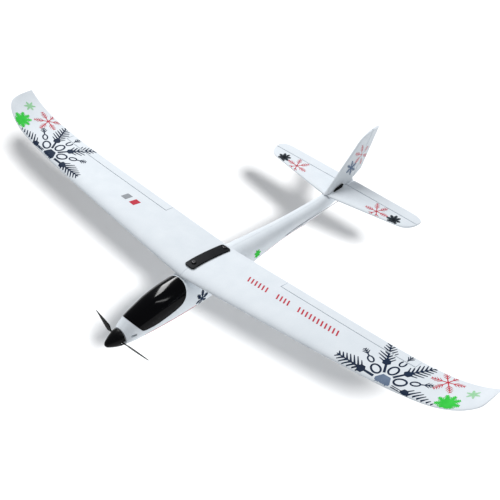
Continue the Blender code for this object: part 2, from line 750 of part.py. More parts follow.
def make_drive(looks):
    y0 = NOSE_Y + 1.6
    mount = rod("motor_mount", (0, y0, NOSE_Z), (0, y0 + 2.2, NOSE_Z), 7.1, looks["black"], sides=28)
    boolean(mount, rod("mount_bore", (0, y0 - 3, NOSE_Z), (0, y0 + 5, NOSE_Z), 2.2, sides=16))
    for k in range(2):
        x = 4.6 * (1 - 2 * k)
        boolean(mount, rod(f"mount_screw_bore{k}", (x, y0 - 3, NOSE_Z), (x, y0 + 5, NOSE_Z), 1.1, sides=10))
    motor = rod("motor", (0, y0 + 2.6, NOSE_Z), (0, y0 + 20.0, NOSE_Z), 6.9, looks["steel"], sides=28)
    boolean(motor, rod("motor_bore", (0, y0, NOSE_Z), (0, y0 + 14.0, NOSE_Z), 1.3, sides=16))
    shaft_ends = [(0, y, NOSE_Z) for y in (PROP_Y - 2.8, y0 + 13.2)]
    shaft = rod("motor_shaft", *shaft_ends, 1.0, looks["steel"], sides=16)
    set_origin(shaft, (0, PROP_Y, NOSE_Z))
    return [mount, motor, shaft]


# ---------------------------------------------------------------- radio gear and linkages


def stadium(start, end, radius_start, radius_end, steps=8):
    """Two round ends joined by straight sides, in a plane."""
    heading = math.atan2(end[1] - start[1], end[0] - start[0])
    points = []
    for centre, radius, turn in ((end, radius_end, -0.5), (start, radius_start, 0.5)):
        for k in range(steps + 1):
            angle = heading + math.pi * (turn + k / steps)
            points.append((centre[0] + radius * math.cos(angle), centre[1] + radius * math.sin(angle)))
    return points


def make_servo(name, low, high, axis, side, tip_z, look, arm_look):
    """A servo lying on its side, and its arm. The arm turns about X beside the case's end face."""
    case = box(name, low, high, look, bevel=0.5)
    face = high[0] if side > 0 else low[0]
    boolean(case, rod(f"{name}_boss", (face - side * 2.0, axis[0], axis[1]),
                      (face + side * 1.7, axis[0], axis[1]), 1.0, sides=12), "UNION")
    near, far = sorted((face + side * 0.6, face + side * 1.6))
    outline = stadium(axis, (axis[0], tip_z), 2.3, 2.1)
    holes = ((axis[0], axis[1], 1.35), (axis[0], tip_z, ROD_HOLE_R))
    arm = outline_plate(f"{name}_arm", outline, near, far, arm_look, axis="X", holes=holes)
    set_origin(arm, ((near + far) / 2, axis[0], axis[1]))
    return case, arm


def make_horn(name, low, high, eye, top, look):
    """A control horn under a surface: a foot behind the hinge and an eye straight below it."""
    outline = [(eye[0] + 1.0, top), (eye[0] + 8.5, top)]
    for k in range(9):
        angle = math.radians(-20.0 - 25.0 * k)
        outline.append((eye[0] + 2.1 * math.cos(angle), eye[1] + 2.1 * math.sin(angle)))
    return outline_plate(name, outline, low, high, look, axis="X", holes=((eye[0], eye[1], ROD_HOLE_R),))


def push_rod(name, start, end, leg, look):
    """A wire with both ends turned across, each through its hole."""
    leg = Vector((leg, 0, 0))
    return set_origin(wire(name, [start + leg, start, end, end + leg], WIRE_R, look), start)


def make_tail_linkages(looks):
    made = []
    made += make_servo("rudder_servo", (-4.0, 12.0, 29.0), (8.4, 32.0, 37.0), (SERVO_Y, 33.0), -1, 26.0,
                       looks["servo"], looks["horn"])
    made += make_servo("elevator_servo", (-8.4, 12.0, 9.0), (4.0, 32.0, 17.0), (SERVO_Y, 13.0), 1, 20.0,
                       looks["servo"], looks["horn"])
    made.append(push_rod("rudder_pushrod", *RUDDER_ROD, 2.8, looks["steel"]))
    made.append(push_rod("elevator_pushrod", *ELEVATOR_ROD, -2.8, looks["steel"]))
    horn = make_horn("elevator_horn", 11.2, 12.2, (ELEVATOR_HINGE_Y, 27.5), 33.3, looks["horn"])
    made.append(set_origin(horn, (11.7, ELEVATOR_HINGE_Y, TAIL_Z)))
    made.append(make_rudder_horn(looks))
    return made


def make_rudder_horn(looks):
    """A cranked horn: a tab on the rudder's right side and a leg down beside the tail cone."""
    eye = RUDDER_ROD[1]
    outline = [(282.0, 43.4), (285.6, 43.4), (285.0, 40.0), (eye.y + 2.6, 30.0), (eye.y + 2.0, 26.4),
               (eye.y - 2.0, 26.4), (eye.y - 2.6, 30.0), (eye.y - 1.6, 33.5), (281.6, 40.4)]
    horn = outline_plate("rudder_horn", outline, -8.8, -7.8, looks["horn"], axis="X")
    boolean(horn, box("rudder_horn_tab", (-8.4, 282.6, 42.0), (-3.2, 285.2, 43.2)), "UNION")
    slot_low = (-10, eye.y - ROD_HOLE_R, eye.z - 2.7)
    slot_high = (-6, eye.y + ROD_HOLE_R, eye.z + 2.7)
    boolean(horn, box("rudder_horn_slot", slot_low, slot_high))
    return set_origin(horn, rudder_hinge(30.0))


def make_aileron_linkage(side, sign, looks):
    axis = aileron_servo_axis(sign)
    hinge = aileron_hinge(120.0, sign)
    inner, outer = sorted((sign * 105.0, sign * 118.6))
    servo, arm = make_servo(f"aileron_servo_{side}", (inner, 6.0, axis.z - 2.9), (outer, 23.0, axis.z + 2.9),
                            (axis.y, axis.z), sign, axis.z - SERVO_THROW, looks["servo"], looks["horn"])
    low, high = sorted((sign * 119.2, sign * 120.2))
    eye_z = hinge.z - SERVO_THROW
    s = (hinge.y + 5.0 - wing_le(120.0)) / (wing_te(120.0) - wing_le(120.0))
    top = wing_section_point(120.0, s, -1)[2] - 0.6
    horn = make_horn(f"aileron_horn_{side}", low, high, (hinge.y, eye_z), top, looks["horn"])
    set_origin(horn, hinge)
    start = Vector((sign * 122.2, axis.y, axis.z - SERVO_THROW))
    end = Vector((sign * 122.2, hinge.y, eye_z))
    rod_wire = push_rod(f"aileron_pushrod_{side}", start, end, -sign * 3.3, looks["steel"])
    return servo, arm, horn, rod_wire


def make_power(looks):
    tray = box("battery_tray", (-8.8, -80.0, 10.0), (8.8, -32.0, 11.2), looks["black"])
    battery = box("battery", (-8.6, -79.0, 11.6), (8.6, -41.0, 23.2), looks["battery"], bevel=1.2)
    inner, outer = 9.0, 9.8
    outline = [(-outer, 11.6), (-inner, 11.6), (-inner, 23.6), (inner, 23.6), (inner, 11.6), (outer, 11.6),
               (outer, 24.5), (-outer, 24.5)]
    strap = outline_plate("battery_strap", outline, -70.0, -58.0, looks["strap"], axis="Y")
    board = box("flight_board", (-9.5, -22.0, 22.0), (9.5, 6.0, 23.2), looks["board"])
    for k, (x, y, w, d, h) in enumerate(((-3, -12, 8, 8, 1.2), (4, -2, 6, 9, 1.8), (0, 3.2, 14, 3.0, 5.0))):
        chip = box(f"board_chip{k}", (x - w / 2, y - d / 2, 22.6), (x + w / 2, y + d / 2, 23.2 + h))
        boolean(board, chip, "UNION")
    return [tray, battery, strap, board]


def make_boom_tube(looks):
    return rod("boom_tube", (0, 62.0, 20.9), (0, 204.0, 20.9), 1.5, looks["carbon"], sides=12)


def main():
    clear_scene()
    looks = make_materials()
    make_fuselage(looks)
    make_canopy(looks)
    make_canopy_former(looks)
    make_magnets(looks)
    make_skid(looks)
    make_boom_tube(looks)
    make_power(looks)
    for side, sign in (("left", 1), ("right", -1)):
        make_wing(side, sign, looks)
        make_aileron_linkage(side, sign, looks)
    make_wing_plate(looks)
    make_wing_screws(looks)
    make_tailplane(looks)
    make_fin(looks)
    make_stab_clips(looks)
    make_tail_linkages(looks)
    make_hub(looks)
    make_blade_pins(looks)
    make_spinner(looks)
    make_blade("blade_left", False, looks)
    make_blade("blade_right", True, looks)
    make_drive(looks)


main()
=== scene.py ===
"""The looks of the foam sailplane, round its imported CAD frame: lengths in mm until a mesh is made."""

import json
import math

import bmesh
import bpy
from mathutils import Matrix, Vector


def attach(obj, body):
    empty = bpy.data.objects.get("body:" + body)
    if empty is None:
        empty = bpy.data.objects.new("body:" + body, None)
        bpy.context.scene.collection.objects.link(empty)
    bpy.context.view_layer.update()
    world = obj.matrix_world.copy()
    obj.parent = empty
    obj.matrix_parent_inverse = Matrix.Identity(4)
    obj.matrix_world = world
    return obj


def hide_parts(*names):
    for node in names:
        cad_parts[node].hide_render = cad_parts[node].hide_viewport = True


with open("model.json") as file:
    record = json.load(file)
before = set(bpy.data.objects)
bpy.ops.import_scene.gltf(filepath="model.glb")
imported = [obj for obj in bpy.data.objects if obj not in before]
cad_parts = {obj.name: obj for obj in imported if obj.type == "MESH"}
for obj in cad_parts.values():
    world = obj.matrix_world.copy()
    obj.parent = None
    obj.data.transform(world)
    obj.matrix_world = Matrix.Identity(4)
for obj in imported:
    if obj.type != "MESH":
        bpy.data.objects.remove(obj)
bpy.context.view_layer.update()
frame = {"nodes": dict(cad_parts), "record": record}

MM = 0.001

# Driving dimensions, in millimetres.
HALF_SPAN = 391.0
WING_LE_Y = -24.0
ROOT_CHORD = 80.0
WING_ROOT_Z = 49.0
DIHEDRAL = 0.058
ROOT_THICKNESS = 9.0
AILERON_CHORD = 13.0
AILERON_INNER = 100.0
AILERON_OUTER = 297.0
HINGE_GAP = 0.5
TAIL_HALF_SPAN = 123.0
TAIL_LE_Y = 227.0
TAIL_TE_Y = 278.0
TAIL_Z = 35.5
TAIL_THICKNESS = 4.0
ELEVATOR_HINGE_Y = 263.0
ELEVATOR_INNER_LEFT = 5.6
ELEVATOR_INNER_RIGHT = 12.0
FIN_BASE_Z = 37.9
FIN_TOP_Z = 97.0
RUDDER_CHORD = 13.0
FIN_SLOPE = 0.63
NOSE_Z = 16.8
PROP_Y = -121.5
PROP_PHASE = math.radians(10.0)
BLADE_REST_FOLD = math.radians(10.0)
BLADE_PIN_R = 6.0
BLADE_LENGTH = 41.0
WALL = 3.6
CLEAR = 0.35
# The exponent of the fuselage's rounded section: 2 would make it an ellipse.
SECTION_SQUARENESS = 2.25
SPAR_CHORD_SHARE = 0.24
SPAR_ABOVE_SKIN = 1.55

PLATE_SCREW_Y = (-1.7, 47.6)
SERVO_Y = 28.0

# Where the long stretch of each tail control rod starts and ends.
RUDDER_ROD = (Vector((-7.0, SERVO_Y, 26.0)), Vector((-10.3, 273.0, 30.0)))
ELEVATOR_ROD = (Vector((7.0, SERVO_Y, 20.0)), Vector((13.4, ELEVATOR_HINGE_Y, 27.5)))

# Fuselage lines: station y, centre height, half width, half height.
FUSELAGE_LINES = (
    (-116.6, 16.8, 11.0, 11.0),
    (-109.0, 18.7, 13.4, 13.2),
    (-100.0, 20.7, 15.6, 15.9),
    (-86.0, 22.4, 17.4, 18.4),
    (-66.0, 24.4, 19.3, 21.6),
    (-40.0, 25.0, 20.5, 23.5),
    (10.0, 25.0, 20.5, 23.5),
    (52.0, 26.0, 18.6, 21.3),
    (99.0, 27.2, 15.0, 15.6),
    (146.0, 26.7, 11.7, 11.7),
    (204.0, 25.4, 10.2, 10.2),
    (250.0, 29.0, 6.2, 8.8),
    (279.0, 32.0, 3.2, 5.6),
)


# ---------------------------------------------------------------- mesh helpers


def finish_mesh(name, bm, look=None, smooth_angle=30.0):
    """Turns a bmesh in millimetres into an object in metres, with outward normals."""
    bmesh.ops.recalc_face_normals(bm, faces=bm.faces[:])
    bmesh.ops.scale(bm, vec=(MM, MM, MM), verts=bm.verts[:])
    mesh = bpy.data.meshes.new(name)
    bm.to_mesh(mesh)
    bm.free()
    mesh.shade_smooth()
    mesh.set_sharp_from_angle(angle=math.radians(smooth_angle))
    obj = bpy.data.objects.new(name, mesh)
    bpy.context.scene.collection.objects.link(obj)
    if look is not None:
        mesh.materials.append(look)
    return obj


def boolean(target, other, operation="DIFFERENCE"):
    modifier = target.modifiers.new(other.name, "BOOLEAN")
    modifier.operation = operation
    modifier.solver = "EXACT"
    modifier.object = other
    other.hide_render = True


def bake(obj, bevel=0.0, smooth_angle=32.0):
    """Replaces the object's mesh by what its modifiers make of it."""
    if bevel:
        modifier = obj.modifiers.new("edge_round", "BEVEL")
        modifier.width = bevel * MM
        modifier.segments = 2
        modifier.limit_method = "ANGLE"
        modifier.angle_limit = math.radians(40.0)
    bpy.context.view_layer.update()
    graph = bpy.context.evaluated_depsgraph_get()
    mesh = bpy.data.meshes.new_from_object(obj.evaluated_get(graph))
    obj.modifiers.clear()
    obj.data = mesh
    mesh.shade_smooth()
    mesh.set_sharp_from_angle(angle=math.radians(smooth_angle))
    return obj


def loft(name, rings, look=None, smooth_angle=32.0):
    """A closed skin through rings of equally many points, with flat ends."""
    bm = bmesh.new()
    loops = [[bm.verts.new(point) for point in ring] for ring in rings]
    count = len(rings[0])
    for near, far in zip(loops, loops[1:]):
        for i in range(count):
            j = (i + 1) % count
            bm.faces.new((near[i], near[j], far[j], far[i]))
    bm.faces.new(loops[0][::-1])
    bm.faces.new(loops[-1])
    return finish_mesh(name, bm, look, smooth_angle)


def box(name, low, high, look=None, bevel=0.0):
    bm = bmesh.new()
    bmesh.ops.create_cube(bm, size=1.0)
    for vert in bm.verts:
        vert.co = Vector((low[k] + (vert.co[k] + 0.5) * (high[k] - low[k]) for k in range(3)))
    if bevel:
        bmesh.ops.bevel(bm, geom=bm.edges[:], offset=bevel, segments=2, profile=0.5, affect="EDGES")
    return finish_mesh(name, bm, look)


def rod(name, start, end, radius, look=None, sides=16, radius_end=None):
    """A round bar between two points."""
    start, end = Vector(start), Vector(end)
    bm = bmesh.new()
    far = radius if radius_end is None else radius_end
    bmesh.ops.create_cone(bm, cap_ends=True, segments=sides, radius1=radius, radius2=far,
                          depth=(end - start).length)
    turn = Vector((0, 0, 1)).rotation_difference(end - start).to_matrix().to_4x4()
    bmesh.ops.transform(bm, matrix=Matrix.Translation((start + end) / 2) @ turn, verts=bm.verts[:])
    return finish_mesh(name, bm, look)


def outline_plate(name, outline, low, high, look=None, axis="Z", holes=()):
    """A flat plate: an outline in the two axes across `axis`, from low to high along it."""
    def place(u, v, w):
        return {"X": (w, u, v), "Y": (u, w, v), "Z": (u, v, w)}[axis]

    rings = [[place(u, v, w) for u, v in outline] for w in (low, high)]
    plate = loft(name, rings, look)
    for k, (u, v, radius) in enumerate(holes):
        hole = rod(f"{name}_hole{k}", place(u, v, low - 2), place(u, v, high + 2), radius, sides=16)
        boolean(plate, hole)
    return plate


def smooth_between(table, y):
    """Reads a row of a table at y along a smooth curve through its rows."""
    last = len(table) - 1
    i = max(k for k in range(last) if table[k][0] <= y or k == 0)
    rows = [table[max(i - 1, 0)], table[i], table[i + 1], table[min(i + 2, last)]]
    span = rows[2][0] - rows[1][0]
    t = min(max((y - rows[1][0]) / span, 0.0), 1.0)
    found = []
    for column in range(1, len(table[0])):
        values = [row[column] for row in rows]
        slope_in = (values[2] - values[0]) / (rows[2][0] - rows[0][0]) * span
        slope_out = (values[3] - values[1]) / (rows[3][0] - rows[1][0]) * span
        cubic = (2 * t**3 - 3 * t**2 + 1, t**3 - 2 * t**2 + t, 3 * t**2 - 2 * t**3, t**3 - t**2)
        found.append(cubic[0] * values[1] + cubic[1] * slope_in + cubic[2] * values[2] + cubic[3] * slope_out)
    return found


def section_point(y, angle, inset=0.0):
    """A point of the fuselage skin; the angle runs from +X (0) over the top (90 degrees)."""
    middle, half_width, half_height = smooth_between(FUSELAGE_LINES, y)
    power = 2.0 / SECTION_SQUARENESS
    x = math.copysign(abs(math.cos(angle)) ** power, math.cos(angle)) * (half_width - inset)
    z = math.copysign(abs(math.sin(angle)) ** power, math.sin(angle)) * (half_height - inset)
    return (x, y, middle + z)


def stations(first, last, step):
    count = max(2, round((last - first) / step))
    return [first + (last - first) * k / count for k in range(count + 1)]


def fuselage_body(name, first, last, inset, segments=96, step=3.0, look=None):
    rings = []
    for y in stations(first, last, step):
        rings.append([section_point(y, 2 * math.pi * (k + 0.5) / segments, inset) for k in range(segments)])
    return loft(name, rings, look)


def fuselage_half_body(name, sign, look, segments=48):
    """One moulded half, still solid: a D section whose flat lies just off the middle plane."""
    rings = []
    for y in stations(FUSELAGE_LINES[0][0], FUSELAGE_LINES[-1][0], 3.0):
        ring = []
        for k in range(segments + 1):
            x, _, z = section_point(y, math.pi / 2 - math.pi * k / segments)
            ring.append((sign * max(abs(x), 0.1), y, z))
        rings.append(ring)
    return loft(name, rings, look)


def canopy_outline(gap):
    """The canopy's side view (y, z): leaning front, sill climbing aft, rear edge leaning back."""
    points = [(-109.0 - gap, 41.0), (-98.2 - gap, 24.5), (-95.0 - gap, 20.8 - gap)]
    points += [(-78.0, 20.4 - gap), (-54.0, 24.8 - gap), (-40.5, 28.4 - gap)]
    points += [(-35.0 + gap, 32.2), (-30.6 + gap, 38.4), (-27.4 + gap, 45.0), (-25.0 + gap, 50.0)]
    return points + [(-22.0 + gap, 56.0), (-109.0 - gap, 56.0)]


def saddle_cutter():
    """Everything above the wing's underside, over the wing's chord."""
    steps = 40
    under = []
    for k in range(steps + 1):
        s = k / steps
        under.append(wing_section_point(2.0, s, -1, CLEAR))
    low = [(point[1], point[2] - 0.1) for point in under]
    low[0] = (low[0][0] - CLEAR, low[0][1])
    low[-1] = (low[-1][0] + 0.8, low[-1][1])
    outline = low + [(low[-1][0], 70.0), (low[0][0], 70.0)]
    return outline_plate("saddle_cutter", outline, -26.0, 26.0, axis="X")


def rod_channel(name, ends):
    """The tunnel that a control rod runs in, open where it leaves the boom."""
    start, end = ends
    along = (end - start).normalized()
    return rod(name, start + along * 30.0, end + along * 20.0, 1.6, sides=10)


def wing_le(x):
    t = max(0.0, (x - 330.0) / (HALF_SPAN - 330.0))
    rounding = 21.0 * (1.0 - math.sqrt(max(0.0, 1.0 - min(t, 1.0) ** 2.5)))
    return WING_LE_Y + 0.062 * x + 0.000035 * x * x + rounding


def wing_te(x):
    flare = 3.0 * max(0.0, (x - 345.0) / (HALF_SPAN - 345.0)) ** 2
    return WING_LE_Y + ROOT_CHORD - 0.010 * x + flare


def wing_mid(x):
    """Height of the chord line: straight dihedral, then a tip that curls up."""
    return WING_ROOT_Z + DIHEDRAL * x + 25.0 * max(0.0, (x - 150.0) / 240.0) ** 5


def wing_thickness(x):
    return max(2.2, ROOT_THICKNESS - 0.0125 * x - 1.8 * max(0.0, (x - 300.0) / 90.0))


def foil(s):
    """Thickness of a foil at s along its chord, 1 at its thickest."""
    return 10.0 * (0.2969 * math.sqrt(s) - 0.126 * s - 0.3516 * s**2 + 0.2843 * s**3 - 0.1036 * s**4)


def wing_section_point(x, s, side, grow=0.0):
    """A point of the wing's skin: s along the chord, side +1 above or -1 below."""
    le, te = wing_le(x), wing_te(x)
    thickness = wing_thickness(x)
    share = 0.72 if side > 0 else 0.28
    lift = thickness * share * foil(s) + 0.45 * s + grow
    incidence = 2.0 * (0.3 - s) * (1.0 - x / HALF_SPAN)
    return (x, le + s * (te - le), wing_mid(x) + incidence + side * lift)


def wing_ring(x, sign, steps=26):
    ring = []
    chord_steps = [0.5 - 0.5 * math.cos(math.pi * k / steps) for k in range(steps + 1)]
    for s in chord_steps[::-1]:
        ring.append(wing_section_point(x, s, 1))
    for s in chord_steps[1:]:
        ring.append(wing_section_point(x, s, -1))
    return [(sign * px, py, pz) for px, py, pz in ring]


def wing_stations():
    straight = [0.15 + (300.0 - 0.15) * k / 40 for k in range(41)]
    tip = [300.0 + (HALF_SPAN - 300.0) * math.sin(math.pi / 2 * k / 28) for k in range(1, 29)]
    return straight + tip


def wing_solid(name, sign, look=None):
    return loft(name, [wing_ring(x, sign) for x in wing_stations()], look)


def aileron_hinge(x, sign):
    """The middle of the hinge gap at a span station."""
    y = wing_te(x) - AILERON_CHORD
    s = (y - wing_le(x)) / (wing_te(x) - wing_le(x))
    above = wing_section_point(x, s, 1)[2]
    below = wing_section_point(x, s, -1)[2]
    return Vector((sign * x, y, (above + below) / 2))


def aileron_region(name, sign, gap):
    """A prism round the aileron: gap > 0 is the room cut from the wing, gap < 0 the aileron itself."""
    rings = []
    for x in (AILERON_INNER - gap, AILERON_OUTER + gap):
        hinge = aileron_hinge(x, sign)
        near, far = hinge.y - gap, wing_te(x) + 8.0
        rings.append([(hinge.x, near, hinge.z - 14), (hinge.x, far, hinge.z - 14),
                      (hinge.x, far, hinge.z + 14), (hinge.x, near, hinge.z + 14)])
    return loft(name, rings)


def spar_line(sign):
    points = []
    for x in (5.0, 230.0):
        under = wing_section_point(x, SPAR_CHORD_SHARE, -1)
        points.append(Vector((sign * x, under[1], under[2] + SPAR_ABOVE_SKIN)))
    return points


def spar_groove(name, sign):
    rings = []
    start, end = spar_line(sign)
    along = (end - start).normalized()
    section = ((-1.8, -8), (1.8, -8), (1.8, 1.8), (-1.8, 1.8))
    for point in (start - along, end + along):
        rings.append([(point.x, point.y + u, point.z + w) for u, w in section])
    return loft(name, rings)


def aileron_servo_axis(sign):
    return Vector((sign * 120.0, 18.0, wing_mid(120.0) - 0.4))


def wing_top(y):
    """Height of the wing's upper skin on the middle plane."""
    return wing_section_point(0.15, (y - WING_LE_Y) / ROOT_CHORD, 1)[2]


def tail_le(x):
    t = max(0.0, min(1.0, (x - 95.0) / (TAIL_HALF_SPAN - 95.0)))
    return TAIL_LE_Y + 0.167 * x + 20.0 * (1.0 - math.sqrt(1.0 - t**4.5))


def tail_te(x):
    t = max(0.0, min(1.0, (x - 100.0) / (TAIL_HALF_SPAN - 100.0)))
    return TAIL_TE_Y - 8.0 * (1.0 - math.sqrt(1.0 - t**2.5))


def plate_foil(s):
    """Half thickness of a foam sheet foil: a round nose, a flat middle and a thin trailing edge."""
    nose = math.sqrt(min(s / 0.10, 1.0) * (2.0 - min(s / 0.10, 1.0)))
    return 0.16 + 0.84 * nose * (1.0 - 0.72 * max(0.0, (s - 0.6) / 0.4))


def sheet_ring(le, te, thickness, place, steps=16):
    chord_steps = [0.5 - 0.5 * math.cos(math.pi * k / steps) for k in range(steps + 1)]
    ring = []
    for side, values in ((1, chord_steps[::-1]), (-1, chord_steps)):
        for s in values:
            ring.append(place(le + s * (te - le), side * thickness / 2 * plate_foil(s)))
    return ring


def tail_thickness(x):
    return TAIL_THICKNESS - 1.6 * abs(x) / TAIL_HALF_SPAN


def tail_solid(name, look=None):
    rings = []
    count = 26
    spans = [TAIL_HALF_SPAN * math.sin(math.pi / 2 * k / count) for k in range(-count, count + 1)]
    for x in spans:
        place = (lambda x: lambda y, h: (x, y, TAIL_Z + h))(x)
        rings.append(sheet_ring(tail_le(abs(x)), tail_te(abs(x)), tail_thickness(x), place))
    return loft(name, rings, look)


def fin_le(z):
    t = max(0.0, min(1.0, (z - 84.0) / (FIN_TOP_Z - 84.0)))
    return 225.0 + 1.27 * (z - FIN_BASE_Z) - 3.0 * t + 22.0 * (1.0 - math.sqrt(1.0 - t**3))


def fin_te(z):
    return 295.0 + FIN_SLOPE * (z - 44.7)


def fin_thickness(z):
    """Thickness of the fin, which flares at its foot."""
    base = max(0.0, 1.0 - (z - FIN_BASE_Z) / 12.0)
    return 4.6 - 1.8 * (z - FIN_BASE_Z) / (FIN_TOP_Z - FIN_BASE_Z) + 2.2 * base**2


def fin_solid(name, look=None):
    rings = []
    count = 32
    for k in range(count + 1):
        z = FIN_BASE_Z + (FIN_TOP_Z - FIN_BASE_Z) * math.sin(math.pi / 2 * k / count)
        place = (lambda z: lambda y, h: (h, y, z))(z)
        rings.append(sheet_ring(fin_le(z), fin_te(z), fin_thickness(z), place))
    return loft(name, rings, look)


def rudder_hinge(z):
    return Vector((0.0, fin_te(z) - RUDDER_CHORD, z))


def rudder_region(name, gap):
    """The slab behind the swept hinge line, closed below by the rudder's sloping lower edge."""
    low, high = rudder_hinge(FIN_BASE_Z - 8.0), rudder_hinge(FIN_TOP_Z + 8.0)
    if gap > 0:
        outline = [(low.y - gap, low.z), (low.y + 60, low.z), (high.y + 60, high.z), (high.y - gap, high.z)]
    else:
        foot = rudder_hinge(40.2)
        outline = [(foot.y - gap, foot.z), (foot.y + 14.0, foot.z + 4.6), (foot.y + 60, foot.z + 20),
                   (high.y + 60, high.z), (high.y - gap, high.z)]
    return outline_plate(name, outline, -10.0, 10.0, axis="X")


def prop_matrix(half_turn=False):
    turn = PROP_PHASE + (math.pi if half_turn else 0.0)
    return Matrix.Translation(Vector((0, PROP_Y, NOSE_Z)) * MM) @ Matrix.Rotation(turn, 4, "Y")


def on_prop(obj, half_turn=False):
    """Moves a shape drawn about the hub, blades along X, to its place on the shaft."""
    obj.data.transform(prop_matrix(half_turn))
    return obj


def spinner_radius(t):
    """Radius at t from the base (0) to the blunt tip (1)."""
    nose = max(0.0, (t - 0.88) / 0.12)
    return 10.8 * (1.0 - 0.78 * t**1.5) * math.sqrt(max(0.0, 1.0 - nose**2))


def blade_chord(s):
    """Chord along the blade, in millimetres: a narrow neck, a wide inner third, a pointed tip."""
    if s < 5.0:
        return 2.3
    grow = min(1.0, (s - 5.0) / 8.0)
    swell = 2.3 + 5.9 * grow * grow * (3.0 - 2.0 * grow)
    taper = max(0.0, (s - 13.0) / (BLADE_LENGTH - 13.0))
    return swell * (1.0 - 0.9 * taper**1.35)


# ---------------------------------------------------------------- materials


def add_node(tree, kind, links=(), **values):
    """A shader node with its inputs set, and linked from the (input, socket) pairs in links."""
    made = tree.nodes.new(kind)
    for name, value in values.items():
        made.inputs[name.replace("_", " ")].default_value = value
    for name, socket in links:
        tree.links.new(socket, made.inputs[name])
    return made


def procedural(
    name, dark, light, rough, grain, relief, metallic=0.0, stretch=(1, 1, 1), beads=0.0, specular=0.5
):
    """A finish that varies in colour, roughness and relief; grain and beads are in cells per metre."""
    made = bpy.data.materials.new(name)
    made.use_nodes = True
    made.diffuse_color = (*light, 1.0)
    tree = made.node_tree
    shader = tree.nodes["Principled BSDF"]
    where = tree.nodes.new("ShaderNodeTexCoord")
    place = add_node(tree, "ShaderNodeMapping", [("Vector", where.outputs["Object"])], Scale=stretch)
    mapped = [("Vector", place.outputs[0])]
    fine = add_node(tree, "ShaderNodeTexNoise", mapped, Scale=grain, Detail=5.0, Roughness=0.6)
    broad = add_node(tree, "ShaderNodeTexNoise", mapped, Scale=grain * 0.06, Detail=3.0)
    blend = add_node(tree, "ShaderNodeMath", [(0, fine.outputs[0]), (1, broad.outputs[0])])
    blend.operation = "ADD"
    ramp = add_node(tree, "ShaderNodeValToRGB")
    ramp.color_ramp.elements[0].position = 0.36
    ramp.color_ramp.elements[0].color = (*dark, 1.0)
    ramp.color_ramp.elements[1].position = 0.64
    ramp.color_ramp.elements[1].color = (*light, 1.0)
    half = add_node(tree, "ShaderNodeMath", [(0, blend.outputs[0])])
    half.operation = "MULTIPLY"
    half.inputs[1].default_value = 0.5
    tree.links.new(half.outputs[0], ramp.inputs[0])
    tree.links.new(ramp.outputs[0], shader.inputs["Base Color"])
    spread = add_node(tree, "ShaderNodeMapRange", [("Value", fine.outputs[0])])
    spread.inputs["From Min"].default_value = 0.25
    spread.inputs["From Max"].default_value = 0.75
    spread.inputs["To Min"].default_value = max(0.02, rough * 0.82)
    spread.inputs["To Max"].default_value = min(1.0, rough * 1.18)
    tree.links.new(spread.outputs[0], shader.inputs["Roughness"])
    bump = add_node(tree, "ShaderNodeBump", [("Height", fine.outputs[0])], Strength=relief, Distance=0.0002)
    if beads:
        cells = add_node(tree, "ShaderNodeTexVoronoi", mapped, Scale=beads)
        cells.feature = "DISTANCE_TO_EDGE"
        edge = add_node(tree, "ShaderNodeMapRange", [("Value", cells.outputs[0])])
        edge.inputs["From Max"].default_value = 0.16
        under = [("Height", edge.outputs[0]), ("Normal", bump.outputs[0])]
        bump = add_node(tree, "ShaderNodeBump", under, Strength=0.22, Distance=0.00008)
    tree.links.new(bump.outputs[0], shader.inputs["Normal"])
    shader.inputs["Metallic"].default_value = metallic
    shader.inputs["Specular IOR Level"].default_value = specular
    return made


LOOKS = {
    "foam": procedural(
        "bead_foam", (0.68, 0.73, 0.775), (0.735, 0.78, 0.82), 0.56, 900.0, 0.12, beads=340.0, specular=0.22
    ),
    "canopy_gloss": procedural(
        "canopy_lacquer", (0.0005, 0.0006, 0.0010), (0.0012, 0.0013, 0.0020), 0.09, 260.0, 0.015, specular=0.1
    ),
    "prop_plastic": procedural(
        "prop_moulding", (0.002, 0.002, 0.0025), (0.005, 0.005, 0.006), 0.3, 700.0, 0.08, specular=0.09
    ),
    "black_nylon": procedural(
        "black_moulding", (0.006, 0.007, 0.0085), (0.012, 0.0135, 0.016), 0.5, 1400.0, 0.3, specular=0.05
    ),
    "black_screw": procedural(
        "black_oxide", (0.01, 0.01, 0.011), (0.03, 0.03, 0.033), 0.35, 2200.0, 0.12, metallic=0.8
    ),
    "carbon": procedural(
        "carbon_rod", (0.008, 0.008, 0.009), (0.035, 0.035, 0.038), 0.34, 1600.0, 0.15, stretch=(1, 0.06, 1)
    ),
    "steel": procedural(
        "bright_steel", (0.42, 0.42, 0.43), (0.62, 0.62, 0.63), 0.26, 2600.0, 0.1,
        metallic=1.0, stretch=(1, 0.08, 1),
    ),
    "magnet": procedural(
        "nickel_plate", (0.55, 0.54, 0.52), (0.72, 0.71, 0.69), 0.18, 1800.0, 0.05, metallic=1.0
    ),
    "battery_wrap": procedural("battery_wrap", (0.012, 0.03, 0.13), (0.025, 0.06, 0.22), 0.3, 500.0, 0.2),
    "strap": procedural("hook_tape", (0.008, 0.008, 0.008), (0.03, 0.03, 0.03), 0.85, 3200.0, 0.9),
    "board": procedural("solder_mask", (0.004, 0.05, 0.02), (0.012, 0.12, 0.05), 0.34, 1500.0, 0.18),
    "horn_nylon": procedural("natural_nylon", (0.60, 0.62, 0.62), (0.70, 0.72, 0.72), 0.42, 900.0, 0.12),
    "servo_case": procedural("servo_case", (0.006, 0.014, 0.05), (0.014, 0.03, 0.09), 0.25, 800.0, 0.1),
}
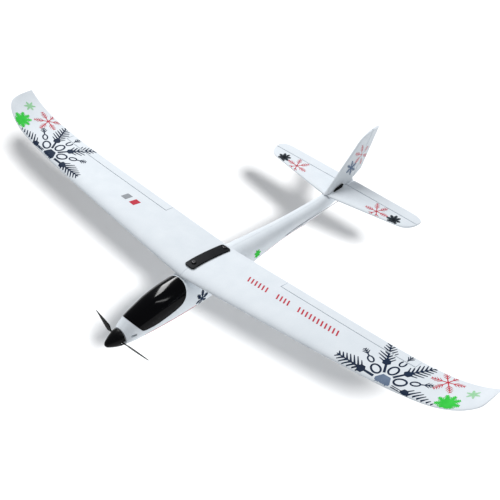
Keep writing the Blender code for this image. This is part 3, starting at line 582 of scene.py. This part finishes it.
INK_COLOURS = {
    "navy": ((0.004, 0.012, 0.036), (0.009, 0.026, 0.062)),
    # slate prints the fin's small flake, and also paints the reflection on the left wing flower's hexagon
    "slate": ((0.11, 0.16, 0.25), (0.17, 0.23, 0.33)),
    "charcoal": ((0.010, 0.015, 0.021), (0.026, 0.036, 0.048)),
    "red": ((0.46, 0.02, 0.045), (0.58, 0.05, 0.075)),
    "rose": ((0.58, 0.16, 0.19), (0.66, 0.25, 0.28)),
    "green": ((0.012, 0.48, 0.03), (0.05, 0.64, 0.07)),
    "pale_green": ((0.25, 0.56, 0.28), (0.38, 0.66, 0.42)),
    "grey": ((0.26, 0.28, 0.30), (0.34, 0.36, 0.39)),
}
INKS = {
    ink: procedural(f"ink_{ink}", dark, light, 0.6, 1500.0, 0.05, specular=0.08)
    for ink, (dark, light) in INK_COLOURS.items()
}

# ---------------------------------------------------------------- pieces that stand for CAD nodes

CANOPY_CORNER = 5.0
BODY_OF = {node: body for body, nodes in frame["record"]["behaviour"]["bodies"].items() for node in nodes}
SLOT_OF = {entry["node"]: entry["material_slot"] for entry in frame["record"]["subparts"]}


def stand_in(obj, node):
    """Names the piece after the CAD node it stands for, and gives it that node's body, slot and finish."""
    obj.name = f"{node}_skin"
    slot = SLOT_OF[node]
    obj.data.materials.clear()
    obj.data.materials.append(LOOKS[slot])
    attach(obj, BODY_OF[node])
    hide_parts(node)
    return obj


def round_corners(points, reach, steps=4):
    """The same outline with each corner turned into a short curve."""
    made = []
    points = [Vector(point) for point in points]
    for k, corner in enumerate(points):
        before, after = points[k - 1] - corner, points[(k + 1) % len(points)] - corner
        first = corner + before.normalized() * min(reach, before.length * 0.45)
        last = corner + after.normalized() * min(reach, after.length * 0.45)
        for step in range(steps + 1):
            t = step / steps
            made.append(tuple(first * (1 - t) ** 2 + corner * 2 * t * (1 - t) + last * t**2))
    return made


def build_fuselage():
    hollow_front = fuselage_body("hollow_front", -119.0, 56.0, WALL)
    hollow_boom = fuselage_body("hollow_boom", 50.0, 236.0, WALL)
    rim = round_corners(canopy_outline(CLEAR), CANOPY_CORNER)
    opening = outline_plate("canopy_opening", rim, -30.0, 30.0, axis="X")
    seat_z = TAIL_Z - TAIL_THICKNESS / 2 - CLEAR
    tail_seat = box("tail_seat", (-15, 226.3, seat_z), (15, ELEVATOR_HINGE_Y + 2.0, 60))
    cutters = [hollow_front, hollow_boom, opening, saddle_cutter(), tail_seat]
    cutters.append(rod_channel("rudder_channel", RUDDER_ROD))
    cutters.append(rod_channel("elevator_channel", ELEVATOR_ROD))
    for side, (inner, outer) in (("left", (10.0, 20.0)), ("right", (-20.0, -10.0))):
        vent = round_corners([(-110.8, 18.6), (-103.6, 18.6), (-103.6, 21.6), (-110.8, 21.6)], 1.2)
        cutters.append(outline_plate(f"vent_{side}", vent, inner, outer, axis="X"))
    cutters.append(box("belly_outlet", (-4, 96.0, 5.0), (4, 106.0, 22.0)))
    for name, sign in (("fuselage_left_half", 1), ("fuselage_right_half", -1)):
        half = fuselage_half_body(f"{name}_new", sign, None)
        for cutter in cutters:
            boolean(half, cutter)
        stand_in(bake(half), name)
    return cutters


def build_canopy():
    canopy = fuselage_body("canopy_new", -108.0, -19.0, 0.0)
    inside = fuselage_body("canopy_inside", -109.0, -18.0, 2.2)
    rib = box("canopy_rib", (-5.0, -37.4, 37.5), (5.0, -34.4, 60.0))
    boolean(inside, rib)
    bake(inside)
    rim = round_corners(canopy_outline(0.0), CANOPY_CORNER)
    region = outline_plate("canopy_region", rim, -30.0, 30.0, axis="X")
    boolean(canopy, region, "INTERSECT")
    boolean(canopy, inside)
    stand_in(bake(canopy), "canopy")
    return [inside, rib, region]


def build_wing(side, sign):
    panel = wing_solid(f"wing_new_{side}", sign)
    aileron = wing_solid(f"aileron_new_{side}", sign)
    axis = aileron_servo_axis(sign)
    inner, outer = sorted((sign * 104.4, sign * 124.0))
    bay = box(f"servo_bay_{side}", (inner, 5.4, axis.z - 20), (outer, 24.8, axis.z + 3.3))
    slot = aileron_region(f"aileron_cut_{side}", sign, HINGE_GAP)
    cutters = [slot, spar_groove(f"spar_groove_{side}", sign), bay]
    for k, y in enumerate(PLATE_SCREW_Y):
        cutters.append(rod(f"screw_bore_{side}{k}", (0, y, 30), (0, y, 70), 1.8))
    for cutter in cutters:
        boolean(panel, cutter)
    keep = aileron_region(f"aileron_keep_{side}", sign, -HINGE_GAP)
    boolean(aileron, keep, "INTERSECT")
    stand_in(bake(panel), f"wing_{side}")
    stand_in(bake(aileron), f"aileron_{side}")
    return cutters + [keep]


def build_wing_plate():
    """The clamp plate over the wing joint: rounded corners and edges, a sunk seat round each screw."""
    rings = []
    first, last, half = -10.0, 51.5, 7.6
    steps = 60
    for k in range(steps + 1):
        y = first + (last - first) * (0.5 - 0.5 * math.cos(math.pi * k / steps))
        top = wing_top(y) + 0.75
        from_end = min(y - first, last - y)
        narrow = 2.6 * (1.0 - math.sqrt(max(0.0, 1.0 - max(0.0, 1.0 - from_end / 3.0) ** 2)))
        w = half - narrow
        ring = [(-w, y, top), (w, y, top)]
        for step in range(7):
            angle = math.pi / 2 * step / 6
            ring.append((w - 0.7 + 0.7 * math.cos(angle), y, top + 0.8 + 0.7 * math.sin(angle)))
        ring += [(-x, y, z) for x, _, z in ring[:1:-1]]
        rings.append(ring)
    plate = loft("wing_plate_new", rings)
    cutters = []
    for k, y in enumerate(PLATE_SCREW_Y):
        cutters.append(rod(f"plate_bore{k}", (0, y, 30), (0, y, 80), 1.8, sides=32))
        cutters.append(rod(f"plate_seat{k}", (0, y, wing_top(y) + 1.75), (0, y, 80), 3.3, sides=48))
    for cutter in cutters:
        boolean(plate, cutter)
    stand_in(bake(plate), "wing_plate")
    return cutters


def build_tail():
    far = TAIL_HALF_SPAN + 10
    stabiliser = tail_solid("stabiliser_new")
    groove_ends = [(x, ELEVATOR_HINGE_Y, TAIL_Z) for x in (-17, 11)]
    cutters = [box("elevator_cut", (-far, ELEVATOR_HINGE_Y - HINGE_GAP, 20), (far, 290, 50))]
    cutters.append(rod("joiner_groove", *groove_ends, 1.0))
    for cutter in cutters:
        boolean(stabiliser, cutter)
    stand_in(bake(stabiliser), "stabiliser")
    ends = (("left", ELEVATOR_INNER_LEFT, far, 8.0), ("right", -far, -ELEVATOR_INNER_RIGHT, -15.0))
    for side, low, high, leg_x in ends:
        half = tail_solid(f"elevator_new_{side}")
        keep = box(f"elevator_keep_{side}", (low, ELEVATOR_HINGE_Y + HINGE_GAP, 20), (high, 290, 50))
        pocket_low = (leg_x - 0.9, 260, TAIL_Z - 0.9)
        pocket = box(f"joiner_pocket_{side}", pocket_low, (leg_x + 0.9, 268.5, TAIL_Z + 0.9))
        boolean(half, keep, "INTERSECT")
        boolean(half, pocket)
        stand_in(bake(half), f"elevator_{side}")
        cutters += [keep, pocket]
    fin, rudder = fin_solid("fin_new"), fin_solid("rudder_new")
    gap, keep = rudder_region("rudder_cut", 0.7), rudder_region("rudder_keep", -0.7)
    boolean(fin, gap)
    boolean(rudder, keep, "INTERSECT")
    stand_in(bake(fin), "fin")
    stand_in(bake(rudder), "rudder")
    return cutters + [gap, keep]


def build_clips():
    """The clips at the fin's foot, with rounded edges."""
    for side, sign in (("left", 1), ("right", -1)):
        low, high = sorted((sign * 3.9, sign * 5.6))
        corners = [(238.0, 37.9), (254.0, 37.9), (256.5, 41.2), (255.5, 42.6), (243.0, 41.0)]
        outline = round_corners(corners, 1.0)
        clip = outline_plate(f"clip_new_{side}", outline, low, high, axis="X")
        stand_in(bake(clip, bevel=0.25), f"stab_clip_{side}")


def build_spinner():
    base, length, wall = 3.3, 21.2, 1.1
    segments, steps = 72, 32

    def turned(name, profile):
        rings = []
        for y, radius in profile:
            circle = [2 * math.pi * i / segments for i in range(segments)]
            rings.append([(radius * math.cos(angle), y, radius * math.sin(angle)) for angle in circle])
        return on_prop(loft(name, rings))

    skin = []
    for k in range(steps + 1):
        t = 0.995 * math.sin(math.pi / 2 * k / steps)
        skin.append((base - length * t, spinner_radius(t)))
    spinner = turned("spinner_new", skin)
    hollow = []
    for k in range(6):
        t = k / 5 * 0.62
        hollow.append((base - length * t + (0.5 if k == 0 else 0.0), spinner_radius(t) - wall - 1.2 * t))
    cutters = [turned("spinner_hollow", hollow)]
    for side in (-1, 1):
        low, high = sorted((side * 3.9, side * 14.0))
        cutters.append(on_prop(box(f"spinner_slot{side}", (low, -2.7, -2.2), (high, 6.0, 2.2))))
    for cutter in cutters:
        boolean(spinner, cutter)
    stand_in(bake(spinner), "spinner")
    return cutters


def build_blade(name, half_turn):
    """A folding blade: a drilled eye, a thin neck, then a twisted foil section with a pointed tip."""
    rings = []
    count, around = 60, 24
    for k in range(count + 1):
        s = BLADE_LENGTH * k / count
        pitch = math.radians(-(24.0 - 16.0 * s / BLADE_LENGTH) * min(1.0, max(0.0, (s - 2.5) / 7.0)))
        half_chord = blade_chord(s) / 2
        half_thick = 1.1 if s < 3 else max(0.5, 1.1 - 0.10 * (s - 3.0))
        ring = []
        for i in range(around):
            angle = 2 * math.pi * i / around
            c, h = half_chord * math.cos(angle), half_thick * math.sin(angle)
            y = c * math.sin(pitch) + h * math.cos(pitch)
            z = c * math.cos(pitch) - h * math.sin(pitch)
            ring.append((s, y, z))
        rings.append(ring)
    blade = loft(f"{name}_new", rings)
    eye = rod(f"{name}_eye", (0, 0, -1.25), (0, 0, 1.25), 1.75, sides=40)
    bore = rod(f"{name}_bore", (0, 0, -4), (0, 0, 4), 0.85, sides=24)
    boolean(blade, eye, "UNION")
    boolean(blade, bore)
    bake(blade)
    place = prop_matrix(half_turn) @ Matrix.Translation((BLADE_PIN_R * MM, 0, 0))
    blade.data.transform(place @ Matrix.Rotation(BLADE_REST_FOLD, 4, "Z"))
    stand_in(blade, name)
    return [eye, bore]


def build_screw(name, y):
    """A pan-head screw: a domed head with a cross recess, and its shank."""
    seat, profile = wing_top(y) + 2.1, []
    for k in range(9):
        angle = math.pi / 2 * k / 8
        profile.append((0.5 + 1.2 * math.sin(angle), 1.9 + 1.0 * math.cos(angle)))
    rings = []
    for height, radius in [(0.0, 2.7), (0.2, 2.9)] + profile:
        circle = [2 * math.pi * i / 40 for i in range(40)]
        rings.append([(radius * math.cos(a), y + radius * math.sin(a), seat + height) for a in circle])
    head = loft(f"{name}_new", rings)
    cutters = [rod(f"{name}_shank", (0, y, seat + 0.4), (0, y, 37.0), 1.3, sides=24)]
    boolean(head, cutters[0], "UNION")
    for k, (u, v) in enumerate(((1.5, 0.32), (0.32, 1.5))):
        cutters.append(box(f"{name}_recess{k}", (-u, y - v, seat + 0.8), (u, y + v, seat + 3)))
        boolean(head, cutters[-1])
    stand_in(bake(head), name)
    return cutters


# ---------------------------------------------------------------- printed decoration

PRINT_THICKNESS = 0.06
# How far the lowest stroke of a print stands off the skin, and each next one above it.
PRINT_LIFT = 0.07
PRINT_STEP = 0.006


def line_cells(start, end, first, last, step=1.5):
    """A tapered stroke from start to end, `first` and `last` wide, as quads."""
    start, end = Vector(start), Vector(end)
    count = max(1, math.ceil((end - start).length / step))
    across = Vector((start.y - end.y, end.x - start.x)).normalized()
    cells = []
    for k in range(count):
        quad = []
        for t, order in ((k / count, (1, -1)), ((k + 1) / count, (-1, 1))):
            middle = start.lerp(end, t)
            width = first + (last - first) * t
            quad += [middle + across * (width / 2 * side) for side in order]
        cells.append(quad)
    return cells


def ring_cells(centre, reach, width, turn, count=26):
    """An oval band with its long side along `turn`."""
    along = Vector((math.cos(turn), math.sin(turn)))
    across = Vector((-along.y, along.x))
    centre = Vector(centre)

    def at(k, grow):
        angle = 2 * math.pi * k / count
        out = centre + along * (reach[0] + grow) * math.cos(angle)
        return out + across * (reach[1] + grow) * math.sin(angle)

    half = width / 2
    return [[at(k, -half), at(k, half), at(k + 1, half), at(k + 1, -half)] for k in range(count)]


def disc_cells(centre, radius, sides, turn=0.0, rings=6):
    """A filled regular polygon as nested bands."""
    centre = Vector(centre)
    cells = []
    split = max(1, 24 // sides)

    def at(k, share):
        corner, part = divmod(k, split)
        ends = []
        for c in (corner, corner + 1):
            angle = turn + 2 * math.pi * c / sides
            ends.append(Vector((math.cos(angle), math.sin(angle))) * radius * share)
        return centre + ends[0].lerp(ends[1], part / split)

    for ring in range(rings):
        inner, outer = max(ring / rings, 0.02), (ring + 1) / rings
        for k in range(sides * split):
            cells.append([at(k, inner), at(k, outer), at(k + 1, outer), at(k + 1, inner)])
    return cells


def feather(centre, turn, first, last, width, barbs, reach, lean):
    """One arm of a flake: a spine with pairs of barbs that are longest a third of the way out."""
    along = Vector((math.cos(turn), math.sin(turn)))
    centre = Vector(centre)
    strokes = [line_cells(centre + along * first, centre + along * last, width, width * 0.4)]
    for k in range(barbs):
        t = (k + 0.6) / barbs
        root = centre + along * (first + (last - first) * (0.24 + 0.72 * t))
        length = reach * (1.0 - 0.72 * t) * (0.55 + 0.45 * min(1.0, t * 4.0))
        for side in (1, -1):
            heading = turn + side * lean
            tip = root + Vector((math.cos(heading), math.sin(heading))) * length
            strokes.append(line_cells(root, tip, width * 0.85, width * 0.35))
    return strokes


def big_flake(centre, radius):
    """The large ice flower near each tip: a hexagon, six feathered arms and a ring of loops."""
    strokes = [disc_cells(centre, radius * 0.155, 6)]
    for k in range(6):
        turn = math.radians(60.0 * k)
        strokes += feather(centre, turn, radius * 0.19, radius, 3.0, 7, radius * 0.29, math.radians(48))
        knot = Vector(centre) + Vector((math.cos(turn), math.sin(turn))) * radius * 0.46
        strokes.append(disc_cells(knot, radius * 0.085, 6, turn))
        between = turn + math.radians(30)
        direction = Vector((math.cos(between), math.sin(between)))
        strokes.append(ring_cells(Vector(centre) + direction * radius * 0.30, (6.8, 4.8), 2.3, between))
        outer = Vector(centre) + direction * radius * 0.55
        strokes.append(ring_cells(outer, (5.0, 3.0), 1.9, between))
        reach = radius * 0.13
        strokes += feather(centre, between, radius * 0.62, radius * 0.84, 2.0, 3, reach, math.radians(42))
    return strokes


def small_flake(centre, radius, arms, width, barbs, turn=0.0, reach=0.36, lean=48.0, core=0.0):
    """A small sprig; reach and core are shares of the radius, and lean is in degrees."""
    strokes = []
    for k in range(arms):
        heading = turn + 2 * math.pi * k / arms
        strokes += feather(centre, heading, 0.0, radius, width, barbs, radius * reach, math.radians(lean))
    if core:
        strokes.append(disc_cells(centre, radius * core, 6, turn))
    return strokes


def stitched(name, look, strokes, surface, body):
    """A thin printed layer on a skin. surface(u, v) gives a point, or None where there is no skin."""
    bm = bmesh.new()
    for order, cells in enumerate(strokes):
        lift = PRINT_LIFT + PRINT_STEP * (order % 9)
        for cell in cells:
            points = [surface(u, v) for u, v in cell]
            if None in points:
                continue
            bm.faces.new([bm.verts.new(point + normal * lift) for point, normal in points])
    if not bm.faces:
        bm.free()
        return None
    bmesh.ops.remove_doubles(bm, verts=bm.verts[:], dist=0.002)
    for face in bm.faces:
        face.normal_update()
    bmesh.ops.solidify(bm, geom=bm.faces[:], thickness=PRINT_THICKNESS)
    obj = finish_mesh(name, bm, look)
    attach(obj, body)
    return obj


def from_heights(height, inside):
    """A skin seen from above, given by its height; `inside` says where it can be printed on."""
    def surface(u, v):
        if not inside(u, v):
            return None
        e = 0.2
        z = height(u, v)
        slope_u = (height(u + e, v) - height(u - e, v)) / (2 * e)
        slope_v = (height(u, v + e) - height(u, v - e)) / (2 * e)
        return Vector((u, v, z)), Vector((-slope_u, -slope_v, 1.0)).normalized()
    return surface


def wing_height(x, y):
    x = abs(x)
    s = (y - wing_le(x)) / (wing_te(x) - wing_le(x))
    return wing_section_point(x, min(max(s, 0.0), 1.0), 1)[2]


def wing_surface(sign, on_aileron):
    def inside(x, y):
        span = x * sign
        if not 9.0 < span < HALF_SPAN - 1.5 or not wing_le(span) + 0.35 < y < wing_te(span) - 0.35:
            return False
        from_hinge = y - (wing_te(span) - AILERON_CHORD)
        if on_aileron:
            return AILERON_INNER + 1.0 < span < AILERON_OUTER - 1.0 and from_hinge > HINGE_GAP + 0.2
        beside = span < AILERON_INNER - 1.0 or span > AILERON_OUTER + 1.0
        return beside or from_hinge < -HINGE_GAP - 0.2
    return from_heights(wing_height, inside)


def mirror(strokes):
    return [[[Vector((-u, v)) for u, v in cell][::-1] for cell in cells] for cells in strokes]


def decorate_wing(side, sign):
    """The cluster of prints near a tip; the left flower's middle hexagon takes the slate ink, a painted
    reflection on its navy print.
    """
    flower = big_flake((284.7, 0.8), 62.0)
    # On the left wing the flower's first stroke, its hexagon, is slate: a painted reflection, lighter than
    # the navy print of the rest.
    painted_reflection_strokes = 1 if sign > 0 else 0
    flakes = {
        "slate": flower[:painted_reflection_strokes],
        "navy": flower[painted_reflection_strokes:],
        "red": small_flake((337.9, 40.8), 18.5, 6, 1.5, 4, turn=0.2, reach=0.42, lean=40.0),
        "green": small_flake((357.8, 12.4), 13.0, 9, 2.4, 4, turn=0.1, reach=0.45, core=0.6),
        "pale_green": small_flake((371.2, 36.1), 7.5, 6, 2.0, 3, core=0.5),
    }
    for ink, strokes in flakes.items():
        if sign < 0:
            strokes = mirror(strokes)
        for on_aileron, body in ((False, "airframe"), (True, f"aileron_{side}")):
            part = "aileron" if on_aileron else "wing"
            skin = wing_surface(sign, on_aileron)
            stitched(f"print_{ink}_{part}_{side}", INKS[ink], strokes, skin, body)


def decorate_root():
    """Plain slanted bars on the left panel and two plain lozenges on the right one."""
    bars = []
    for first, last in ((64.0, 98.0), (110.0, 132.0), (143.0, 206.0)):
        count = round((last - first) / 5.6)
        for k in range(count):
            x = first + (last - first) * k / count
            bars.append(line_cells((x, 28.8), (x + 4.2, 20.0), 1.9, 1.9))
    stitched("print_bars_left", INKS["red"], bars, wing_surface(1, False), "airframe")
    for ink, x, y in (("red", -133.5, 21.5), ("grey", -149.0, 21.5)):
        lozenge = []
        for k in range(6):
            left = x - 6.0 + k * 1.5
            lozenge.append(line_cells((left, y - 5.5), (left + 1.5, y + 5.5), 1.55, 1.55))
        stitched(f"print_lozenge_{ink}", INKS[ink], lozenge, wing_surface(-1, False), "airframe")


def tail_height(x, y):
    x = abs(x)
    s = (y - tail_le(x)) / (tail_te(x) - tail_le(x))
    return TAIL_Z + tail_thickness(x) / 2 * plate_foil(min(max(s, 0.0), 1.0))


def decorate_tail():
    def inside(x, y):
        return tail_le(abs(x)) + 0.3 < y < ELEVATOR_HINGE_Y - HINGE_GAP - 0.2

    for side, sign in (("left", 1), ("right", -1)):
        red = small_flake((70.0, 247.4), 17.0, 6, 1.3, 4, turn=0.1, reach=0.42, lean=40.0)
        dark = small_flake((96.0, 249.5), 9.5, 8, 2.0, 4, turn=0.2, reach=0.45, core=0.5)
        if sign < 0:
            red, dark = mirror(red), mirror(dark)
        skin = from_heights(tail_height, inside)
        stitched(f"print_tail_red_{side}", INKS["red"], red, skin, "airframe")
        stitched(f"print_tail_dark_{side}", INKS["charcoal"], dark, skin, "airframe")


def fin_surface(side, on_rudder):
    def half_width(y, z):
        s = (y - fin_le(z)) / (fin_te(z) - fin_le(z))
        return fin_thickness(z) / 2 * plate_foil(min(max(s, 0.0), 1.0))

    def surface(y, z):
        if not FIN_BASE_Z + 1 < z < FIN_TOP_Z - 1 or not fin_le(z) + 0.4 < y < fin_te(z) - 0.4:
            return None
        from_hinge = y - rudder_hinge(z).y
        if (from_hinge < 1.1) if on_rudder else (from_hinge > -1.1):
            return None
        return Vector((side * half_width(y, z), y, z)), Vector((side, 0.0, 0.0))
    return surface


def decorate_fin():
    inks = {"rose": small_flake((294.0, 68.0), 14.5, 6, 1.2, 4, turn=0.5, reach=0.42, lean=40.0),
            "slate": small_flake((274.0, 57.0), 10.0, 6, 2.0, 3, turn=0.3, reach=0.45, core=0.4)}
    for name, side in (("left", 1), ("right", -1)):
        for ink, strokes in inks.items():
            stitched(f"print_fin_{ink}_{name}", INKS[ink], strokes, fin_surface(side, False), "airframe")
            stitched(f"print_rudder_{ink}_{name}", INKS[ink], strokes, fin_surface(side, True), "rudder")


def body_surface(side):
    """The fuselage side: u is the station, v the way up the skin from the widest line."""
    def at(u, v):
        angle = v / 20.0
        x, y, z = section_point(u, angle)
        return Vector((side * x, y, z))

    def surface(u, v):
        e = 0.2
        along, up = at(u + e, v) - at(u - e, v), at(u, v + e) - at(u, v - e)
        return at(u, v), along.cross(up).normalized() * side

    return surface


def decorate_fuselage():
    for name, side in (("left", 1), ("right", -1)):
        surface = body_surface(side)
        stripe = [
            line_cells((-93.0, -11.0), (-16.0, -12.0), 1.5, 1.9),
            line_cells((104.0, -10.5), (206.0, -11.5), 1.5, 1.1),
        ]
        stitched(f"print_stripe_{name}", INKS["red"], stripe, surface, "airframe")
        edge = [
            line_cells((-84.0, -12.8), (-14.0, -14.0), 0.7, 1.0),
            line_cells((118.0, -12.3), (196.0, -12.9), 0.7, 0.5),
        ]
        stitched(f"print_edge_{name}", INKS["charcoal"], edge, surface, "airframe")
        blue = small_flake((-9.0, -4.5), 9.5, 6, 2.0, 4, turn=0.3, reach=0.45, core=0.35)
        stitched(f"print_side_navy_{name}", INKS["navy"], blue, surface, "airframe")
        green = small_flake((88.0, 1.0), 6.0, 7, 2.0, 3, reach=0.45, core=0.5)
        stitched(f"print_side_green_{name}", INKS["green"], green, surface, "airframe")


# ---------------------------------------------------------------- build

tools = build_fuselage() + build_canopy() + build_wing_plate() + build_tail() + build_spinner()
for side, sign in (("left", 1), ("right", -1)):
    tools += build_wing(side, sign)
    decorate_wing(side, sign)
for name, half_turn in (("blade_left", False), ("blade_right", True)):
    tools += build_blade(name, half_turn)
for name, y in zip(("wing_screw_front", "wing_screw_rear"), PLATE_SCREW_Y):
    tools += build_screw(name, y)
build_clips()
decorate_root()
decorate_tail()
decorate_fin()
decorate_fuselage()
for tool in tools:
    bpy.data.objects.remove(tool)

for node, obj in frame["nodes"].items():
    if not obj.hide_render:
        obj.data.materials.clear()
        obj.data.materials.append(LOOKS[SLOT_OF[node]])

# ---------------------------------------------------------------- stage

# The floor's drop, the camera and the lamps are in metres; the floor's half side is in millimetres.
FLOOR_DROP = 0.105
FLOOR_HALF_SIDE = 60000.0
AIM = Vector((0.0328, 0.0617, 0.0555))
TOWARDS_CAMERA = Vector((0.5464, -0.5381, 0.6417)).normalized()
CAMERA_DISTANCE = 1.311
CAMERA_LENS = 79.37
CAMERA_SHIFT = (-0.004, 0.0052)
LAMP_DISTANCE = 3.0
WORLD_STRENGTH = 0.32


def look_along(direction):
    """Axes of something whose -Z looks against `direction`, kept upright."""
    across = Vector((0, 0, 1)).cross(direction).normalized()
    upward = direction.cross(across)
    return Matrix((across, upward, direction)).transposed().to_4x4()


def place_lamp(name, data, direction, floor, lights_floor):
    """Puts a lamp in a direction from the model, and says whether it lights the floor or the model."""
    lamp = bpy.data.objects.new(name, data)
    bpy.context.scene.collection.objects.link(lamp)
    direction = Vector(direction).normalized()
    lamp.matrix_world = Matrix.Translation(AIM + direction * LAMP_DISTANCE) @ look_along(direction)
    lit = bpy.data.collections.new(f"{name}_lit")
    lit.objects.link(floor)
    if not lights_floor:
        lit.collection_objects[0].light_linking.link_state = "EXCLUDE"
    lamp.light_linking.receiver_collection = lit


def area_light(name, direction, width, height, power, floor):
    """A soft box that lights the model and not the floor."""
    data = bpy.data.lights.new(name, "AREA")
    data.shape = "RECTANGLE"
    data.size, data.size_y = width, height
    data.energy = power
    place_lamp(name, data, direction, floor, False)


def floor_light(name, direction, strength, spread, floor, casts):
    """A broad distant light on the floor alone; only one of them throws the model's soft shadow."""
    data = bpy.data.lights.new(name, "SUN")
    data.energy = strength
    data.angle = spread
    data.use_shadow = casts
    place_lamp(name, data, direction, floor, True)


def make_floor():
    bm = bmesh.new()
    bmesh.ops.create_grid(bm, x_segments=4, y_segments=4, size=FLOOR_HALF_SIDE)
    paper = procedural("floor_paper", (0.93, 0.93, 0.93), (0.95, 0.95, 0.95), 0.8, 40.0, 0.02)
    floor = finish_mesh("floor", bm, paper)
    floor.location.z = -FLOOR_DROP
    return floor


def make_world():
    world = bpy.data.worlds.new("studio")
    bpy.context.scene.world = world
    world.use_nodes = True
    back = world.node_tree.nodes["Background"]
    back.inputs["Color"].default_value = (0.93, 0.96, 1.0, 1.0)
    back.inputs["Strength"].default_value = WORLD_STRENGTH


def make_camera():
    data = bpy.data.cameras.new("camera")
    data.sensor_width = 36.0
    data.lens = CAMERA_LENS
    data.shift_x, data.shift_y = CAMERA_SHIFT
    data.clip_end = 300.0
    camera = bpy.data.objects.new("camera", data)
    bpy.context.scene.collection.objects.link(camera)
    eye = AIM + TOWARDS_CAMERA * CAMERA_DISTANCE
    camera.matrix_world = Matrix.Translation(eye) @ look_along(TOWARDS_CAMERA)
    bpy.context.scene.camera = camera
    bpy.context.scene.view_settings.view_transform = "Standard"


floor = make_floor()
make_world()
floor_light("floor_key", (0.9725, -0.4636, 1.0), 4.0, math.radians(8.0), floor, True)
floor_light("floor_fill", (0.0, 0.0, 1.0), 0.42, math.radians(30.0), floor, False)
area_light("top_box", (-0.61, 0.32, 0.70), 0.40, 1.9, 82.0, floor)
area_light("edge_strip", (0.44, 0.17, 0.86), 0.14, 2.2, 16.0, floor)
make_camera()
